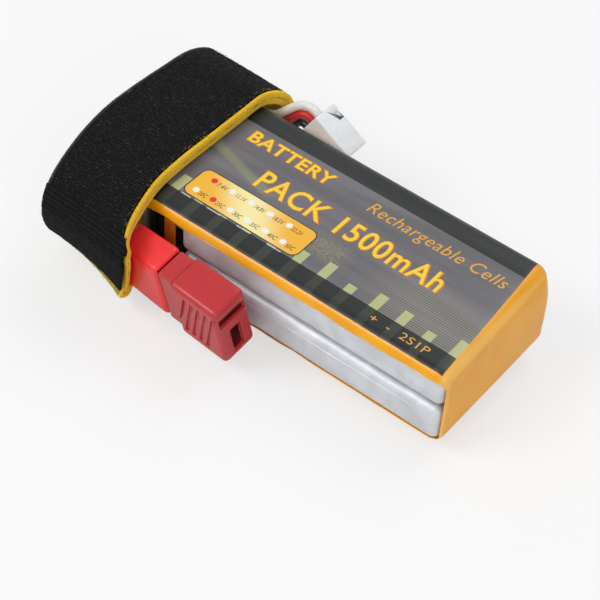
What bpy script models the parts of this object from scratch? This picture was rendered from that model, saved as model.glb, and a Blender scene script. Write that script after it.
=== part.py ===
"""Two-cell lithium polymer battery pack with its leads, plugs and hook-and-loop strap.

The origin is the centre of the pack's bottom face. +X points at the plain end, -X at
the end where the leads come out, -Y at the side with the power plug and +Z up.
"""

import math

import bmesh
import bpy
from mathutils import Euler, Vector

MM = 0.001
GAP = 0.3  # clearance between pieces that touch on the real pack
PAST = 1.0  # how far a cutter runs past what it cuts
ROOTED = 4.0  # how deep a joined shape is set into its neighbour

# Pack
PACK_LENGTH = 71.0
PACK_WIDTH = 35.0
PACK_HEIGHT = 18.3

# Printed sleeve
SLEEVE_WALL = 0.4
SLEEVE_CORNER = 2.6
SIDE_LIP_TOP = 2.05
SIDE_LIP_BOTTOM = 0.9
SIDE_LIP_PLAIN_END = 1.3
SIDE_LIP_LEAD_END = 2.2
END_LIP = 3.0
WINDOW_CORNER = 0.8

# Cells
TERRACE_LENGTH = 4.5
TERRACE_THICKNESS = 0.5
TERRACE_INSET = 1.3
CELL_CORNER = 1.9
PAD_THICKNESS = 0.4
PAD_INSET = 4.0
LEAD_END_SPACE = 11.5  # from the lead end of the sleeve to the cells' shoulders
TAPE_THICKNESS = 0.3

# Tabs, board and its insulation
TAB_WIDTH = 5.0
TAB_THICKNESS = 0.3
TAB_FOOT = 3.0
TAB_OFFSET = 9.0
BOARD_THICKNESS = 1.0
BOARD_INSET_SIDE = 2.6
BOARD_INSET_TOP = 1.2
FOAM_INSET = 3.0
FOAM_CORNER = 0.6
INSULATOR_THICKNESS = 0.6
SOLDER_RADIUS = 2.3
SOLDER_HEIGHT = 1.0

# Leads
MAIN_LEAD = 3.2
BALANCE_LEAD = 1.7
LEAD_STEP = 0.9  # between a lead's points, in diameters
MAIN_EXIT_INSET = 9.0  # from the near side
RED_EXIT_Z = 13.2
BLACK_EXIT_Z = 5.2
BALANCE_EXIT_INSET = 6.9  # from the far side
BALANCE_EXIT_Z = (13.2, 10.8, 8.2)

# Power plug: x runs from its rear to its mating face, y across, z along its long side
PLUG_AHEAD = 30.9  # its mating face, from the lead end
PLUG_BESIDE = 1.1  # its lower edge, from the pack's near side
PLUG_LEAN = 13.5
PLUG_YAW = -4.5
PLUG_HEIGHT = 16.0
PLUG_THICKNESS = 7.6
PLUG_BODY_LENGTH = 11.5
PLUG_SHOULDER_LENGTH = 3.5
PLUG_SHOULDER_INSET = 0.7
PLUG_CORNER = 1.0
CAP_LENGTH = 10.8
CAP_INSET = 0.5
CAP_TAPER = 1.1
CAP_WALL = 0.7
ENTRY_LENGTH = 4.0
SLOT_WIDTH = 5.8
SLOT_HEIGHT = 2.0
CROSS_SLOT_Z = 12.2
TALL_SLOT_LOW = 1.9
TALL_SLOT_HIGH = 8.3
BLADE_THICKNESS = 0.7
BLADE_WIDTH = 4.2
BLADE_RECESS = 1.2
BLADE_TAIL = 1.2
LEAD_PITCH = 6.4
SHRINK_LENGTH = 6.0
SHRINK_WALL = 0.25
SHRINK_SETBACK = 0.6  # from the lead's tip

# Balance plug: x runs from its rear to its mating face
BALANCE_AHEAD = 10.0  # its rear, from the lead end
BALANCE_BESIDE = 0.9  # from the pack's far side
BALANCE_UP = 12.0
BALANCE_PITCH_DOWN = 31.0
BALANCE_LENGTH = 9.8
BALANCE_WIDTH = 9.8
BALANCE_THICKNESS = 5.75
BALANCE_CORNER = 0.4
WAY_PITCH = 2.5
WAY_HOLE = 1.5
WAY_ENTRY = 3.6
WAY_OVERLAP = 0.1  # of a way's round entry with its channel
TERMINAL_SIZE = 0.8
TERMINAL_LENGTH = 4.6

# Strap. Its outer face is drawn at the front edge, then at the rear edge. A point is
# (along from the lead end, across, beyond, level, above): across runs from -1 outside the
# power plug to 1 outside the far side, level from 0 under the pack to 1 over it, and
# beyond and above are millimetres more.
STRAP_BAND = 1.5
STRAP_LINING = 1.1
STRAP_EDGE = 1.0
STRAP_STEPS = 4  # between one outline point and the next
STRAP_FRONT = [
    (4.5, 0.0, 0.0, 1.0, 0.0),
    (4.5, 0.5, -1.35, 1.0, 0.0),
    (4.5, 1.0, -4.3, 1.0, -0.2),
    (4.5, 1.0, 1.4, 1.0, -3.2),
    (4.5, 1.0, 4.9, 0.5, 5.05),
    (4.5, 1.0, 6.3, 0.5, 0.45),
    (4.5, 1.0, 5.6, 0.5, -4.95),
    (4.5, 1.0, 2.7, 0.0, 2.0),
    (2.3, 1.0, -3.2, 0.0, 0.0),
    (2.2, 0.5, -2.35, 0.0, 0.0),
    (2.2, 0.0, 0.0, 0.0, 0.0),
    (2.2, -0.5, 5.15, 0.0, 0.0),
    (2.3, -0.5, -3.35, 0.0, 0.0),
    (5.1, -1.0, 4.5, 0.0, 1.2),
    (6.5, -1.0, 0.6, 0.0, 4.6),
    (8.1, -1.0, -1.1, 0.0, 9.6),
    (9.6, -1.0, -2.4, 0.0, 15.2),
    (10.4, -1.0, -3.3, 0.0, 19.6),
    (9.7, -1.0, -0.9, 0.0, 22.8),
    (7.1, -1.0, 4.5, 0.0, 23.6),
    (5.1, -0.5, -1.35, 1.0, -0.1),
    (4.5, -0.5, 6.65, 1.0, 0.0),
]
STRAP_REAR = [
    (-15.5, 0.0, 0.0, 1.0, 1.0),
    (-15.5, 0.5, -1.35, 1.0, 0.5),
    (-15.5, 1.0, -4.5, 1.0, -0.2),
    (-15.5, 1.0, 1.1, 1.0, -2.6),
    (-15.5, 1.0, 4.7, 0.5, 6.25),
    (-15.5, 1.0, 6.1, 0.5, 0.85),
    (-15.5, 1.0, 5.3, 0.5, -4.75),
    (-15.5, 1.0, 2.5, 0.0, 2.0),
    (-17.4, 1.0, -3.2, 0.0, 0.0),
    (-17.7, 0.5, -2.35, 0.0, 0.0),
    (-17.7, 0.0, 0.0, 0.0, 0.0),
    (-17.7, -0.5, 5.65, 0.0, 0.0),
    (-17.2, -0.5, -1.45, 0.0, 0.0),
    (-14.7, -1.0, 7.9, 0.0, 1.8),
    (-13.9, -1.0, 4.5, 0.0, 5.6),
    (-13.1, -1.0, 1.7, 0.0, 9.6),
    (-12.1, -1.0, -0.3, 0.0, 14.2),
    (-10.9, -1.0, -1.3, 0.0, 19.4),
    (-10.9, -1.0, 0.1, 0.0, 22.8),
    (-12.3, -1.0, 4.9, 0.0, 24.4),
    (-14.1, -0.5, -1.35, 1.0, 0.7),
    (-15.3, -0.5, 6.65, 1.0, 1.0),
]
FLAP_START = 14.9  # outline points, counted from the first
FLAP_END = 17.3
FLAP_STEP = 0.5  # over which the strap sinks beneath the flap
FLAP_CLEAR = 1.6  # steps beyond the flap's ends at which it has sunk
FLAP_PILE = 0.7
FLAP_HOOKS = 0.4
UNDER_FLAP_BAND = 0.6
UNDER_FLAP_LINING = 0.5

# Routes of the leads, from the terminal board to the plugs: along from the lead end,
# across from the side that their plug is on, and up
RED_ROUTE = [
    (1.3, 9.0, 13.2),
    (-1.5, 9.0, 13.2),
    (-4.3, 8.6, 13.2),
    (-6.8, 7.4, 13.1),
    (-8.6, 5.4, 12.9),
    (-9.3, 2.8, 12.6),
    (-8.8, 0.1, 12.3),
    (-7.2, -2.2, 12.05),
    (-4.7, -3.8, 11.9),
    (-1.7, -4.8, 11.8),
    (1.3, -5.29, 11.78),
    (4.37, -5.53, 11.78),
    (9.5, -5.93, 11.78),
    (14.54, -6.33, 11.78),
]
BLACK_ROUTE = [
    (1.3, 9.0, 5.2),
    (-1.5, 9.0, 5.2),
    (-4.1, 8.6, 5.2),
    (-6.4, 7.4, 5.25),
    (-8.0, 5.4, 5.3),
    (-8.5, 3.0, 5.4),
    (-7.9, 0.5, 5.5),
    (-6.2, -1.6, 5.55),
    (-3.7, -2.9, 5.55),
    (-1.0, -3.5, 5.55),
    (1.7, -3.8, 5.55),
    (4.48, -4.04, 5.55),
    (9.5, -4.43, 5.55),
    (14.65, -4.84, 5.55),
]
BALANCE_ROUTES = [
    [
        (2.6, -6.9, 13.2),
        (0.1, -6.9, 13.2),
        (-2.5, -6.8, 13.2),
        (-5.1, -6.0, 13.2),
        (-7.0, -4.3, 13.2),
        (-7.6, -2.3, 13.2),
        (-7.0, -0.3, 13.2),
        (-5.3, 1.3, 13.2),
        (-2.9, 2.0, 13.2),
        (-0.5, 2.1, 13.2),
        (1.7, 2.1, 13.3),
        (3.9, 2.2, 13.8),
        (5.6, 2.4, 15.0),
        (7.2, 2.8, 16.6),
        (8.8, 3.3, 18.1),
        (10.5, 3.6, 19.1),
        (12.2, 3.77, 19.15),
        (13.81, 3.77, 18.34),
        (16.81, 3.77, 16.54),
    ],
    [
        (2.6, -6.9, 10.8),
        (0.1, -6.9, 10.8),
        (-2.5, -6.8, 10.8),
        (-5.1, -6.0, 10.8),
        (-7.0, -4.3, 10.8),
        (-7.6, -2.3, 10.8),
        (-7.0, -0.3, 10.8),
        (-5.3, 1.3, 10.8),
        (-2.9, 2.0, 10.8),
        (-0.5, 2.1, 10.8),
        (1.9, 2.1, 10.8),
        (4.1, 2.3, 11.1),
        (5.8, 2.6, 12.4),
        (7.4, 3.1, 14.2),
        (9.0, 3.5, 15.9),
        (10.7, 3.77, 16.75),
        (12.52, 3.77, 16.2),
        (15.52, 3.77, 14.4),
    ],
    [
        (2.6, -6.9, 8.2),
        (0.1, -6.9, 8.2),
        (-2.5, -6.8, 8.2),
        (-5.1, -6.0, 8.2),
        (-7.0, -4.3, 8.2),
        (-7.6, -2.3, 8.2),
        (-7.0, -0.3, 8.2),
        (-5.3, 1.3, 8.2),
        (-2.9, 2.1, 8.2),
        (-0.5, 2.5, 8.1),
        (1.8, 3.0, 8.1),
        (4.0, 3.7, 8.5),
        (5.7, 4.4, 9.5),
        (7.2, 4.7, 11.1),
        (8.5, 4.5, 12.9),
        (9.9, 4.0, 14.2),
        (11.24, 3.77, 14.06),
        (14.24, 3.77, 12.26),
    ],
]


def collection(name):
    made = bpy.data.collections.new(name)
    bpy.context.scene.collection.children.link(made)
    return made


for old in list(bpy.data.objects):
    bpy.data.objects.remove(old, do_unlink=True)
for old in list(bpy.data.collections):
    bpy.data.collections.remove(old)
PARTS = collection("battery_pack")
CUTTERS = collection("cutters")


def material(name, colour, roughness, metallic=0.0):
    """A plain Principled material."""
    made = bpy.data.materials.new(name)
    made.use_nodes = True
    shader = made.node_tree.nodes["Principled BSDF"]
    shader.inputs["Base Color"].default_value = (*colour, 1.0)
    shader.inputs["Roughness"].default_value = roughness
    shader.inputs["Metallic"].default_value = metallic
    made.diffuse_color = (*colour, 1.0)
    return made


FOIL = material("pouch_foil", (0.55, 0.57, 0.6), 0.35, 0.8)
FILM = material("printed_film", (0.86, 0.38, 0.02), 0.3)
WHITE_TAPE = material("adhesive_pad", (0.8, 0.8, 0.78), 0.7)
AMBER_TAPE = material("amber_tape", (0.55, 0.25, 0.03), 0.25)
NICKEL = material("tab_metal", (0.6, 0.58, 0.54), 0.3, 1.0)
BOARD = material("board_laminate", (0.02, 0.16, 0.08), 0.45)
FOAM = material("foam", (0.07, 0.07, 0.07), 0.9)
FIBRE = material("fibre_sheet", (0.5, 0.52, 0.4), 0.8)
SOLDER = material("solder", (0.62, 0.62, 0.6), 0.3, 1.0)
RED_RUBBER = material("red_silicone", (0.62, 0.02, 0.03), 0.5)
BLACK_RUBBER = material("black_silicone", (0.015, 0.015, 0.015), 0.5)
WHITE_RUBBER = material("white_silicone", (0.75, 0.75, 0.72), 0.5)
RED_NYLON = material("red_nylon", (0.5, 0.02, 0.03), 0.45)
RED_CAP = material("red_cap", (0.8, 0.03, 0.03), 0.35)
GOLD = material("gold_plate", (0.8, 0.55, 0.2), 0.25, 1.0)
MILKY_NYLON = material("milky_nylon", (0.8, 0.82, 0.84), 0.4)
BLACK_WEB = material("black_web", (0.012, 0.012, 0.012), 0.95)
YELLOW_WEB = material("yellow_web", (0.6, 0.38, 0.02), 0.9)


def linked(name, mesh, finish, where=PARTS):
    """A new object of this mesh, in the parts unless another collection is named."""
    made = bpy.data.objects.new(name, mesh)
    where.objects.link(made)
    if finish:
        mesh.materials.append(finish)
    return made


def hidden(cutter):
    """Marks an object as a cutter."""
    cutter.hide_render = True
    cutter.display_type = "WIRE"
    return cutter


def box(name, low, high, finish=None, where=PARTS):
    """A box between two corners, in millimetres, with its origin at its centre."""
    bm = bmesh.new()
    bmesh.ops.create_cube(bm, size=1.0)
    size = [(b - a) * MM for a, b in zip(low, high)]
    bmesh.ops.scale(bm, vec=size, verts=bm.verts)
    mesh = bpy.data.meshes.new(name)
    bm.to_mesh(mesh)
    bm.free()
    made = linked(name, mesh, finish, where)
    made.location = [(a + b) / 2 * MM for a, b in zip(low, high)]
    return made


def rod(name, radius, length, centre, axis, finish=None, where=PARTS, sides=20):
    """A cylinder about a centre, in millimetres, along x, y or z."""
    bm = bmesh.new()
    bmesh.ops.create_cone(
        bm,
        cap_ends=True,
        segments=sides,
        radius1=radius * MM,
        radius2=radius * MM,
        depth=length * MM,
    )
    mesh = bpy.data.meshes.new(name)
    bm.to_mesh(mesh)
    bm.free()
    made = linked(name, mesh, finish, where)
    made.location = [c * MM for c in centre]
    made.rotation_euler = {
        "x": (0.0, math.pi / 2, 0.0),
        "y": (math.pi / 2, 0.0, 0.0),
        "z": (0.0, 0.0, 0.0),
    }[axis]
    return made


def bevel(piece, width, segments=3, angle=40.0):
    """Rounds a piece's edges."""
    rounding = piece.modifiers.new("rounding", "BEVEL")
    rounding.width = width * MM
    rounding.segments = segments
    rounding.limit_method = "ANGLE"
    rounding.angle_limit = math.radians(angle)
    return piece


def boolean(piece, other, operation):
    """Cuts another object from a piece, or joins it to the piece."""
    work = piece.modifiers.new(operation.lower(), "BOOLEAN")
    work.operation = operation
    work.solver = "EXACT"
    work.object = other
    hidden(other)
    return piece


def cut(piece, *cutters):
    for cutter in cutters:
        boolean(piece, cutter, "DIFFERENCE")
    return piece


def join(piece, *others):
    for other in others:
        boolean(piece, other, "UNION")
    return piece


def parented(piece, frame):
    """Puts a piece, placed in its frame's coordinates, under that frame."""
    piece.parent = frame
    return piece


def frame_at(name, place, turn):
    """An empty that carries a group of pieces. Its angles are in degrees."""
    made = bpy.data.objects.new(name, None)
    made.empty_display_size = 5 * MM
    PARTS.objects.link(made)
    made.location = [c * MM for c in place]
    made.rotation_euler = Euler([math.radians(a) for a in turn])
    return made


def smooth(points, each=4):
    """Points on a Catmull-Rom curve through the given ones."""
    fine = []
    for i in range(len(points) - 1):
        a = Vector(points[max(i - 1, 0)])
        b = Vector(points[i])
        c = Vector(points[i + 1])
        d = Vector(points[min(i + 2, len(points) - 1)])
        for k in range(each):
            t = k / each
            fine.append(
                0.5
                * (
                    2 * b
                    + (c - a) * t
                    + (2 * a - 5 * b + 4 * c - d) * t**2
                    + (3 * b - a - 3 * c + d) * t**3
                )
            )
    fine.append(Vector(points[-1]))
    return fine


def spaced(points, step):
    """The same line, with points about one step apart."""
    lengths = [0.0]
    for a, b in zip(points, points[1:]):
        lengths.append(lengths[-1] + (b - a).length)
    count = max(2, round(lengths[-1] / step))
    even = []
    at = 0
    for k in range(count + 1):
        want = lengths[-1] * k / count
        while at < len(points) - 2 and lengths[at + 1] < want:
            at += 1
        share = (want - lengths[at]) / (lengths[at + 1] - lengths[at])
        even.append(points[at].lerp(points[at + 1], share))
    return even


def lead(name, route, side, diameter, finish):
    """An insulated lead along a smooth curve through its route, placed from a side."""
    placed = [(LEAD_END + x, side + y, z) for x, y, z in route]
    points = spaced(smooth(placed), LEAD_STEP * diameter)
    curve = bpy.data.curves.new(name, "CURVE")
    curve.dimensions = "3D"
    curve.bevel_depth = diameter / 2 * MM
    curve.bevel_resolution = 2
    curve.use_fill_caps = True
    line = curve.splines.new("POLY")
    line.points.add(len(points) - 1)
    for at, point in zip(line.points, points):
        at.co = (*(point * MM), 1.0)
    curve.materials.append(finish)
    made = bpy.data.objects.new(name, curve)
    PARTS.objects.link(made)
    return made


# ---------------------------------------------------------------- pack

LEAD_END = -PACK_LENGTH / 2
PLAIN_END = PACK_LENGTH / 2
SIDE = PACK_WIDTH / 2
INSIDE = SLEEVE_WALL + GAP
SHOULDER = LEAD_END + LEAD_END_SPACE
CELL_HEIGHT = (PACK_HEIGHT - 2 * INSIDE - PAD_THICKNESS - 2 * GAP) / 2
LOWER_CELL = INSIDE
UPPER_CELL = PACK_HEIGHT - INSIDE - CELL_HEIGHT
TERRACE_END = SHOULDER - TERRACE_LENGTH
INSULATOR_X = LEAD_END + INSIDE
BOARD_X = INSULATOR_X + INSULATOR_THICKNESS + SOLDER_HEIGHT + 2 * GAP
MAIN_EXIT_Y = -SIDE + MAIN_EXIT_INSET
BALANCE_EXIT_Y = SIDE - BALANCE_EXIT_INSET


def printed_sleeve():
    """Shrunk film over the top, plain end and bottom, open at both sides."""
    sleeve = box(
        "printed_sleeve",
        (LEAD_END, -SIDE, 0.0),
        (PLAIN_END, SIDE, PACK_HEIGHT),
        FILM,
    )
    bevel(sleeve, SLEEVE_CORNER, 4)
    wall = sleeve.modifiers.new("wall", "SOLIDIFY")
    wall.thickness = SLEEVE_WALL * MM
    wall.offset = -1.0
    wall.use_even_offset = True
    window_low = LEAD_END + SIDE_LIP_LEAD_END
    window_high = PLAIN_END - SIDE_LIP_PLAIN_END
    reach = SLEEVE_CORNER + PAST
    for name, sign in (("near_window", -1), ("far_window", 1)):
        edge = sorted((sign * (SIDE - reach), sign * (SIDE + PAST)))
        window = box(
            name,
            (window_low, edge[0], SIDE_LIP_BOTTOM),
            (window_high, edge[1], PACK_HEIGHT - SIDE_LIP_TOP),
            where=CUTTERS,
        )
        cut(sleeve, bevel(window, WINDOW_CORNER, 2))
    mouth = box(
        "lead_window",
        (LEAD_END - PAST, -SIDE + END_LIP, END_LIP),
        (LEAD_END + reach, SIDE - END_LIP, PACK_HEIGHT - END_LIP),
        where=CUTTERS,
    )
    cut(sleeve, bevel(mouth, WINDOW_CORNER, 2))


def cell(name, low):
    """A pouch cell: a crowned body with a thin sealed terrace at the tab end."""
    side = SIDE - INSIDE
    body = box(
        name,
        (SHOULDER, -side, low),
        (PLAIN_END - INSIDE, side, low + CELL_HEIGHT),
        FOIL,
    )
    bevel(body, CELL_CORNER, 4)
    middle = low + CELL_HEIGHT / 2
    terrace = box(
        name + "_terrace",
        (TERRACE_END, -side + TERRACE_INSET, middle - TERRACE_THICKNESS / 2),
        (SHOULDER + ROOTED, side - TERRACE_INSET, middle + TERRACE_THICKNESS / 2),
        where=CUTTERS,
    )
    join(body, terrace)


def cell_adhesive_pad():
    """Double-sided pad that holds the cells together."""
    low = LOWER_CELL + CELL_HEIGHT + GAP
    box(
        "cell_adhesive_pad",
        (SHOULDER + PAD_INSET, -SIDE + PAD_INSET, low),
        (PLAIN_END - PAD_INSET, SIDE - PAD_INSET, low + PAD_THICKNESS),
        WHITE_TAPE,
    )


def tab(name, low, y, turned_up):
    """A cell's tab: out of the terrace, then folded flat against the board."""
    z = (low + CELL_HEIGHT / 2) * MM
    start = (TERRACE_END - GAP) * MM
    end = (BOARD_X + BOARD_THICKNESS + GAP + TAB_THICKNESS) * MM
    foot = z + (TAB_FOOT if turned_up else -TAB_FOOT) * MM
    bm = bmesh.new()
    rows = []
    for x, height in ((start, z), (end, z), (end, foot)):
        rows.append(
            [
                bm.verts.new((x, (y - TAB_WIDTH / 2) * MM, height)),
                bm.verts.new((x, (y + TAB_WIDTH / 2) * MM, height)),
            ]
        )
    for a, b in zip(rows, rows[1:]):
        bm.faces.new((a[0], a[1], b[1], b[0]))
    mesh = bpy.data.meshes.new(name)
    bm.to_mesh(mesh)
    bm.free()
    made = linked(name, mesh, NICKEL)
    metal = made.modifiers.new("metal", "SOLIDIFY")
    metal.thickness = TAB_THICKNESS * MM
    metal.offset = 1.0 if turned_up else -1.0
    metal.use_even_offset = True


def tab_tape():
    """Amber tape wound round the cells' terraces."""
    side = SIDE - INSIDE
    wrap = box(
        "tab_tape",
        (TERRACE_END, -side, LOWER_CELL),
        (SHOULDER - GAP, side, PACK_HEIGHT - INSIDE),
        AMBER_TAPE,
    )
    bevel(wrap, CELL_CORNER, 4)
    inner = side - TAPE_THICKNESS
    hollow = box(
        "tape_hollow",
        (TERRACE_END - PAST, -inner, LOWER_CELL + TAPE_THICKNESS),
        (SHOULDER + PAST, inner, PACK_HEIGHT - INSIDE - TAPE_THICKNESS),
        where=CUTTERS,
    )
    cut(wrap, bevel(hollow, CELL_CORNER - TAPE_THICKNESS, 4))


def terminal_board():
    """Circuit board that the tabs and the leads are soldered to."""
    box(
        "terminal_board",
        (BOARD_X, -SIDE + BOARD_INSET_SIDE, BOARD_INSET_TOP),
        (BOARD_X + BOARD_THICKNESS, SIDE - BOARD_INSET_SIDE, PACK_HEIGHT - BOARD_INSET_TOP),
        BOARD,
    )


def foam_spacer():
    """Foam block between the terraces."""
    half = TERRACE_THICKNESS / 2 + GAP
    bevel(
        box(
            "foam_spacer",
            (BOARD_X + BOARD_THICKNESS + GAP, -SIDE + FOAM_INSET, LOWER_CELL + CELL_HEIGHT / 2 + half),
            (SHOULDER - GAP, SIDE - FOAM_INSET, UPPER_CELL + CELL_HEIGHT / 2 - half),
            FOAM,
        ),
        FOAM_CORNER,
        2,
    )


def solder_joint(name, z):
    """A domed joint between a main lead and the board."""
    bm = bmesh.new()
    bmesh.ops.create_uvsphere(bm, u_segments=16, v_segments=8, radius=SOLDER_RADIUS * MM)
    bmesh.ops.bisect_plane(
        bm,
        geom=bm.verts[:] + bm.edges[:] + bm.faces[:],
        plane_co=(0.0, 0.0, 0.0),
        plane_no=(1.0, 0.0, 0.0),
        clear_outer=True,
    )
    rim = [edge for edge in bm.edges if edge.is_boundary]
    bmesh.ops.holes_fill(bm, edges=rim)
    bmesh.ops.scale(bm, vec=(SOLDER_HEIGHT / SOLDER_RADIUS, 1.0, 1.0), verts=bm.verts)
    bmesh.ops.recalc_face_normals(bm, faces=bm.faces)
    mesh = bpy.data.meshes.new(name)
    bm.to_mesh(mesh)
    bm.free()
    made = linked(name, mesh, SOLDER)
    made.location = ((BOARD_X - GAP) * MM, MAIN_EXIT_Y * MM, z * MM)


def end_insulator():
    """Fibre sheet over the board, with a hole for each lead."""
    sheet = box(
        "end_insulator",
        (INSULATOR_X, -SIDE + SLEEVE_CORNER, SLEEVE_CORNER),
        (INSULATOR_X + INSULATOR_THICKNESS, SIDE - SLEEVE_CORNER, PACK_HEIGHT - SLEEVE_CORNER),
        FIBRE,
    )
    holes = [(MAIN_LEAD, MAIN_EXIT_Y, RED_EXIT_Z), (MAIN_LEAD, MAIN_EXIT_Y, BLACK_EXIT_Z)]
    holes += [(BALANCE_LEAD, BALANCE_EXIT_Y, z) for z in BALANCE_EXIT_Z]
    for i, (diameter, y, z) in enumerate(holes):
        cut(
            sheet,
            rod(
                f"lead_hole_{i + 1}",
                diameter / 2 + GAP,
                4 * INSULATOR_THICKNESS,
                (INSULATOR_X + INSULATOR_THICKNESS / 2, y, z),
                "x",
                where=CUTTERS,
            ),
        )


# ---------------------------------------------------------------- power plug

LEAD_MIDDLE = PLUG_HEIGHT / 2
LEAD_HEIGHTS = (LEAD_MIDDLE + LEAD_PITCH / 2, LEAD_MIDDLE - LEAD_PITCH / 2)
PLUG_REAR = -PLUG_BODY_LENGTH - PLUG_SHOULDER_LENGTH
CAP_FRONT = PLUG_REAR - GAP
CAP_REAR = CAP_FRONT - CAP_LENGTH
BLADE_REAR = PLUG_REAR - BLADE_TAIL
LEAD_TIP = BLADE_REAR - GAP


def tapered(name, x_front, x_rear, inset, taper, finish=None, where=PARTS):
    """A block as thick all along, whose height narrows evenly towards its rear."""
    made = box(
        name,
        (x_rear, inset, inset),
        (x_front, PLUG_THICKNESS - inset, PLUG_HEIGHT - inset),
        finish,
        where,
    )
    for vertex in made.data.vertices:
        if vertex.co.x < 0.0:
            vertex.co.z -= math.copysign(taper * MM, vertex.co.z)
    return made


def plug_housing(frame):
    """Nylon body with a slot across it and a slot along it."""
    housing = box(
        "t_plug_housing",
        (-PLUG_BODY_LENGTH, 0.0, 0.0),
        (0.0, PLUG_THICKNESS, PLUG_HEIGHT),
        RED_NYLON,
    )
    bevel(housing, PLUG_CORNER, 2)
    shoulder = box(
        "plug_shoulder",
        (PLUG_REAR, PLUG_SHOULDER_INSET, PLUG_SHOULDER_INSET),
        (
            -PLUG_BODY_LENGTH / 2,
            PLUG_THICKNESS - PLUG_SHOULDER_INSET,
            PLUG_HEIGHT - PLUG_SHOULDER_INSET,
        ),
        where=CUTTERS,
    )
    join(housing, shoulder)
    middle = PLUG_THICKNESS / 2
    cross = box(
        "cross_slot",
        (PLUG_REAR - PAST, middle - SLOT_WIDTH / 2, CROSS_SLOT_Z - SLOT_HEIGHT / 2),
        (PAST, middle + SLOT_WIDTH / 2, CROSS_SLOT_Z + SLOT_HEIGHT / 2),
        where=CUTTERS,
    )
    tall = box(
        "tall_slot",
        (PLUG_REAR - PAST, middle - SLOT_HEIGHT / 2, TALL_SLOT_LOW),
        (PAST, middle + SLOT_HEIGHT / 2, TALL_SLOT_HIGH),
        where=CUTTERS,
    )
    cut(housing, cross, tall)
    for piece in (housing, shoulder, cross, tall):
        parented(piece, frame)


def plug_contacts(frame):
    """The two gold-plated blades, each against one wall of its slot."""
    middle = PLUG_THICKNESS / 2
    floor = CROSS_SLOT_Z - SLOT_HEIGHT / 2 + GAP
    across = box(
        "contact_positive",
        (BLADE_REAR, middle - BLADE_WIDTH / 2, floor),
        (-BLADE_RECESS, middle + BLADE_WIDTH / 2, floor + BLADE_THICKNESS),
        GOLD,
    )
    wall = middle - SLOT_HEIGHT / 2 + GAP
    along = box(
        "contact_negative",
        (BLADE_REAR, wall, TALL_SLOT_LOW + GAP),
        (-BLADE_RECESS, wall + BLADE_THICKNESS, TALL_SLOT_HIGH - GAP),
        GOLD,
    )
    for piece in (across, along):
        parented(piece, frame)


def plug_cap(frame):
    """Tapered cap over the soldered lead ends, open towards the housing."""
    cap = tapered("t_plug_cap", CAP_FRONT, CAP_REAR, CAP_INSET, CAP_TAPER, RED_CAP)
    bevel(cap, PLUG_CORNER, 2)
    hollow = tapered(
        "cap_hollow",
        CAP_FRONT + PAST,
        CAP_REAR + CAP_WALL,
        CAP_INSET + CAP_WALL,
        CAP_TAPER,
        where=CUTTERS,
    )
    cut(cap, hollow)
    holes = []
    for name, z in zip(("red_entry", "black_entry"), LEAD_HEIGHTS):
        holes.append(
            rod(
                name,
                MAIN_LEAD / 2 + GAP,
                ENTRY_LENGTH,
                (CAP_REAR, PLUG_THICKNESS / 2, z),
                "x",
                where=CUTTERS,
            )
        )
    cut(cap, *holes)
    for piece in (cap, hollow, *holes):
        parented(piece, frame)


def lead_shrink(name, z, finish, frame):
    """Heat-shrink sleeve round a lead's end, inside the cap."""
    inner = MAIN_LEAD / 2 + GAP
    length = (LEAD_TIP - SHRINK_SETBACK, LEAD_TIP - SHRINK_SETBACK - SHRINK_LENGTH)
    centre = (sum(length) / 2, PLUG_THICKNESS / 2, z)
    ring = rod(name, inner + SHRINK_WALL, SHRINK_LENGTH, centre, "x", finish)
    core = rod(name + "_core", inner, SHRINK_LENGTH + PAST, centre, "x", where=CUTTERS)
    cut(ring, core)
    parented(ring, frame)
    parented(core, frame)


# ---------------------------------------------------------------- balance plug

WAYS = [BALANCE_WIDTH / 2 + WAY_PITCH * k for k in (1, 0, -1)]


def balance_housing(frame):
    """Three-way crimp housing with a channel for each terminal."""
    housing = box(
        "balance_housing",
        (0.0, 0.0, 0.0),
        (BALANCE_LENGTH, BALANCE_THICKNESS, BALANCE_WIDTH),
        MILKY_NYLON,
    )
    bevel(housing, BALANCE_CORNER, 2)
    parented(housing, frame)
    middle = BALANCE_THICKNESS / 2
    for i, z in enumerate(WAYS):
        channel = box(
            f"way_{i + 1}",
            (WAY_ENTRY, middle - WAY_HOLE / 2, z - WAY_HOLE / 2),
            (BALANCE_LENGTH + PAST, middle + WAY_HOLE / 2, z + WAY_HOLE / 2),
            where=CUTTERS,
        )
        entry = rod(
            f"way_entry_{i + 1}",
            BALANCE_LEAD / 2 + GAP,
            2 * (WAY_ENTRY + WAY_OVERLAP),
            (0.0, middle, z),
            "x",
            where=CUTTERS,
            sides=16,
        )
        cut(housing, channel, entry)
        parented(channel, frame)
        parented(entry, frame)


def balance_terminals(frame):
    """A crimped terminal in each way, in line with its lead."""
    middle = BALANCE_THICKNESS / 2
    half = TERMINAL_SIZE / 2
    for i, z in enumerate(WAYS):
        terminal = box(
            f"balance_terminal_{i + 1}",
            (WAY_ENTRY + GAP, middle - half, z - half),
            (WAY_ENTRY + GAP + TERMINAL_LENGTH, middle + half, z + half),
            GOLD,
        )
        parented(terminal, frame)


# ---------------------------------------------------------------- strap

STRAP_OFF = STRAP_BAND + GAP + STRAP_LINING + GAP
FAR_REACH = SIDE + STRAP_OFF
NEAR_REACH = SIDE + STRAP_OFF + PLUG_THICKNESS


def drawn(points):
    """An outline's points, placed from the pack's sizes."""
    placed = []
    for along, across, beyond, level, above in points:
        reach = FAR_REACH if across > 0.0 else NEAR_REACH
        height = level * PACK_HEIGHT + (2.0 * level - 1.0) * STRAP_OFF
        placed.append((LEAD_END + along, across * reach + beyond, height + above))
    return placed


FRONT_LINE = drawn(STRAP_FRONT)
REAR_LINE = drawn(STRAP_REAR)


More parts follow.
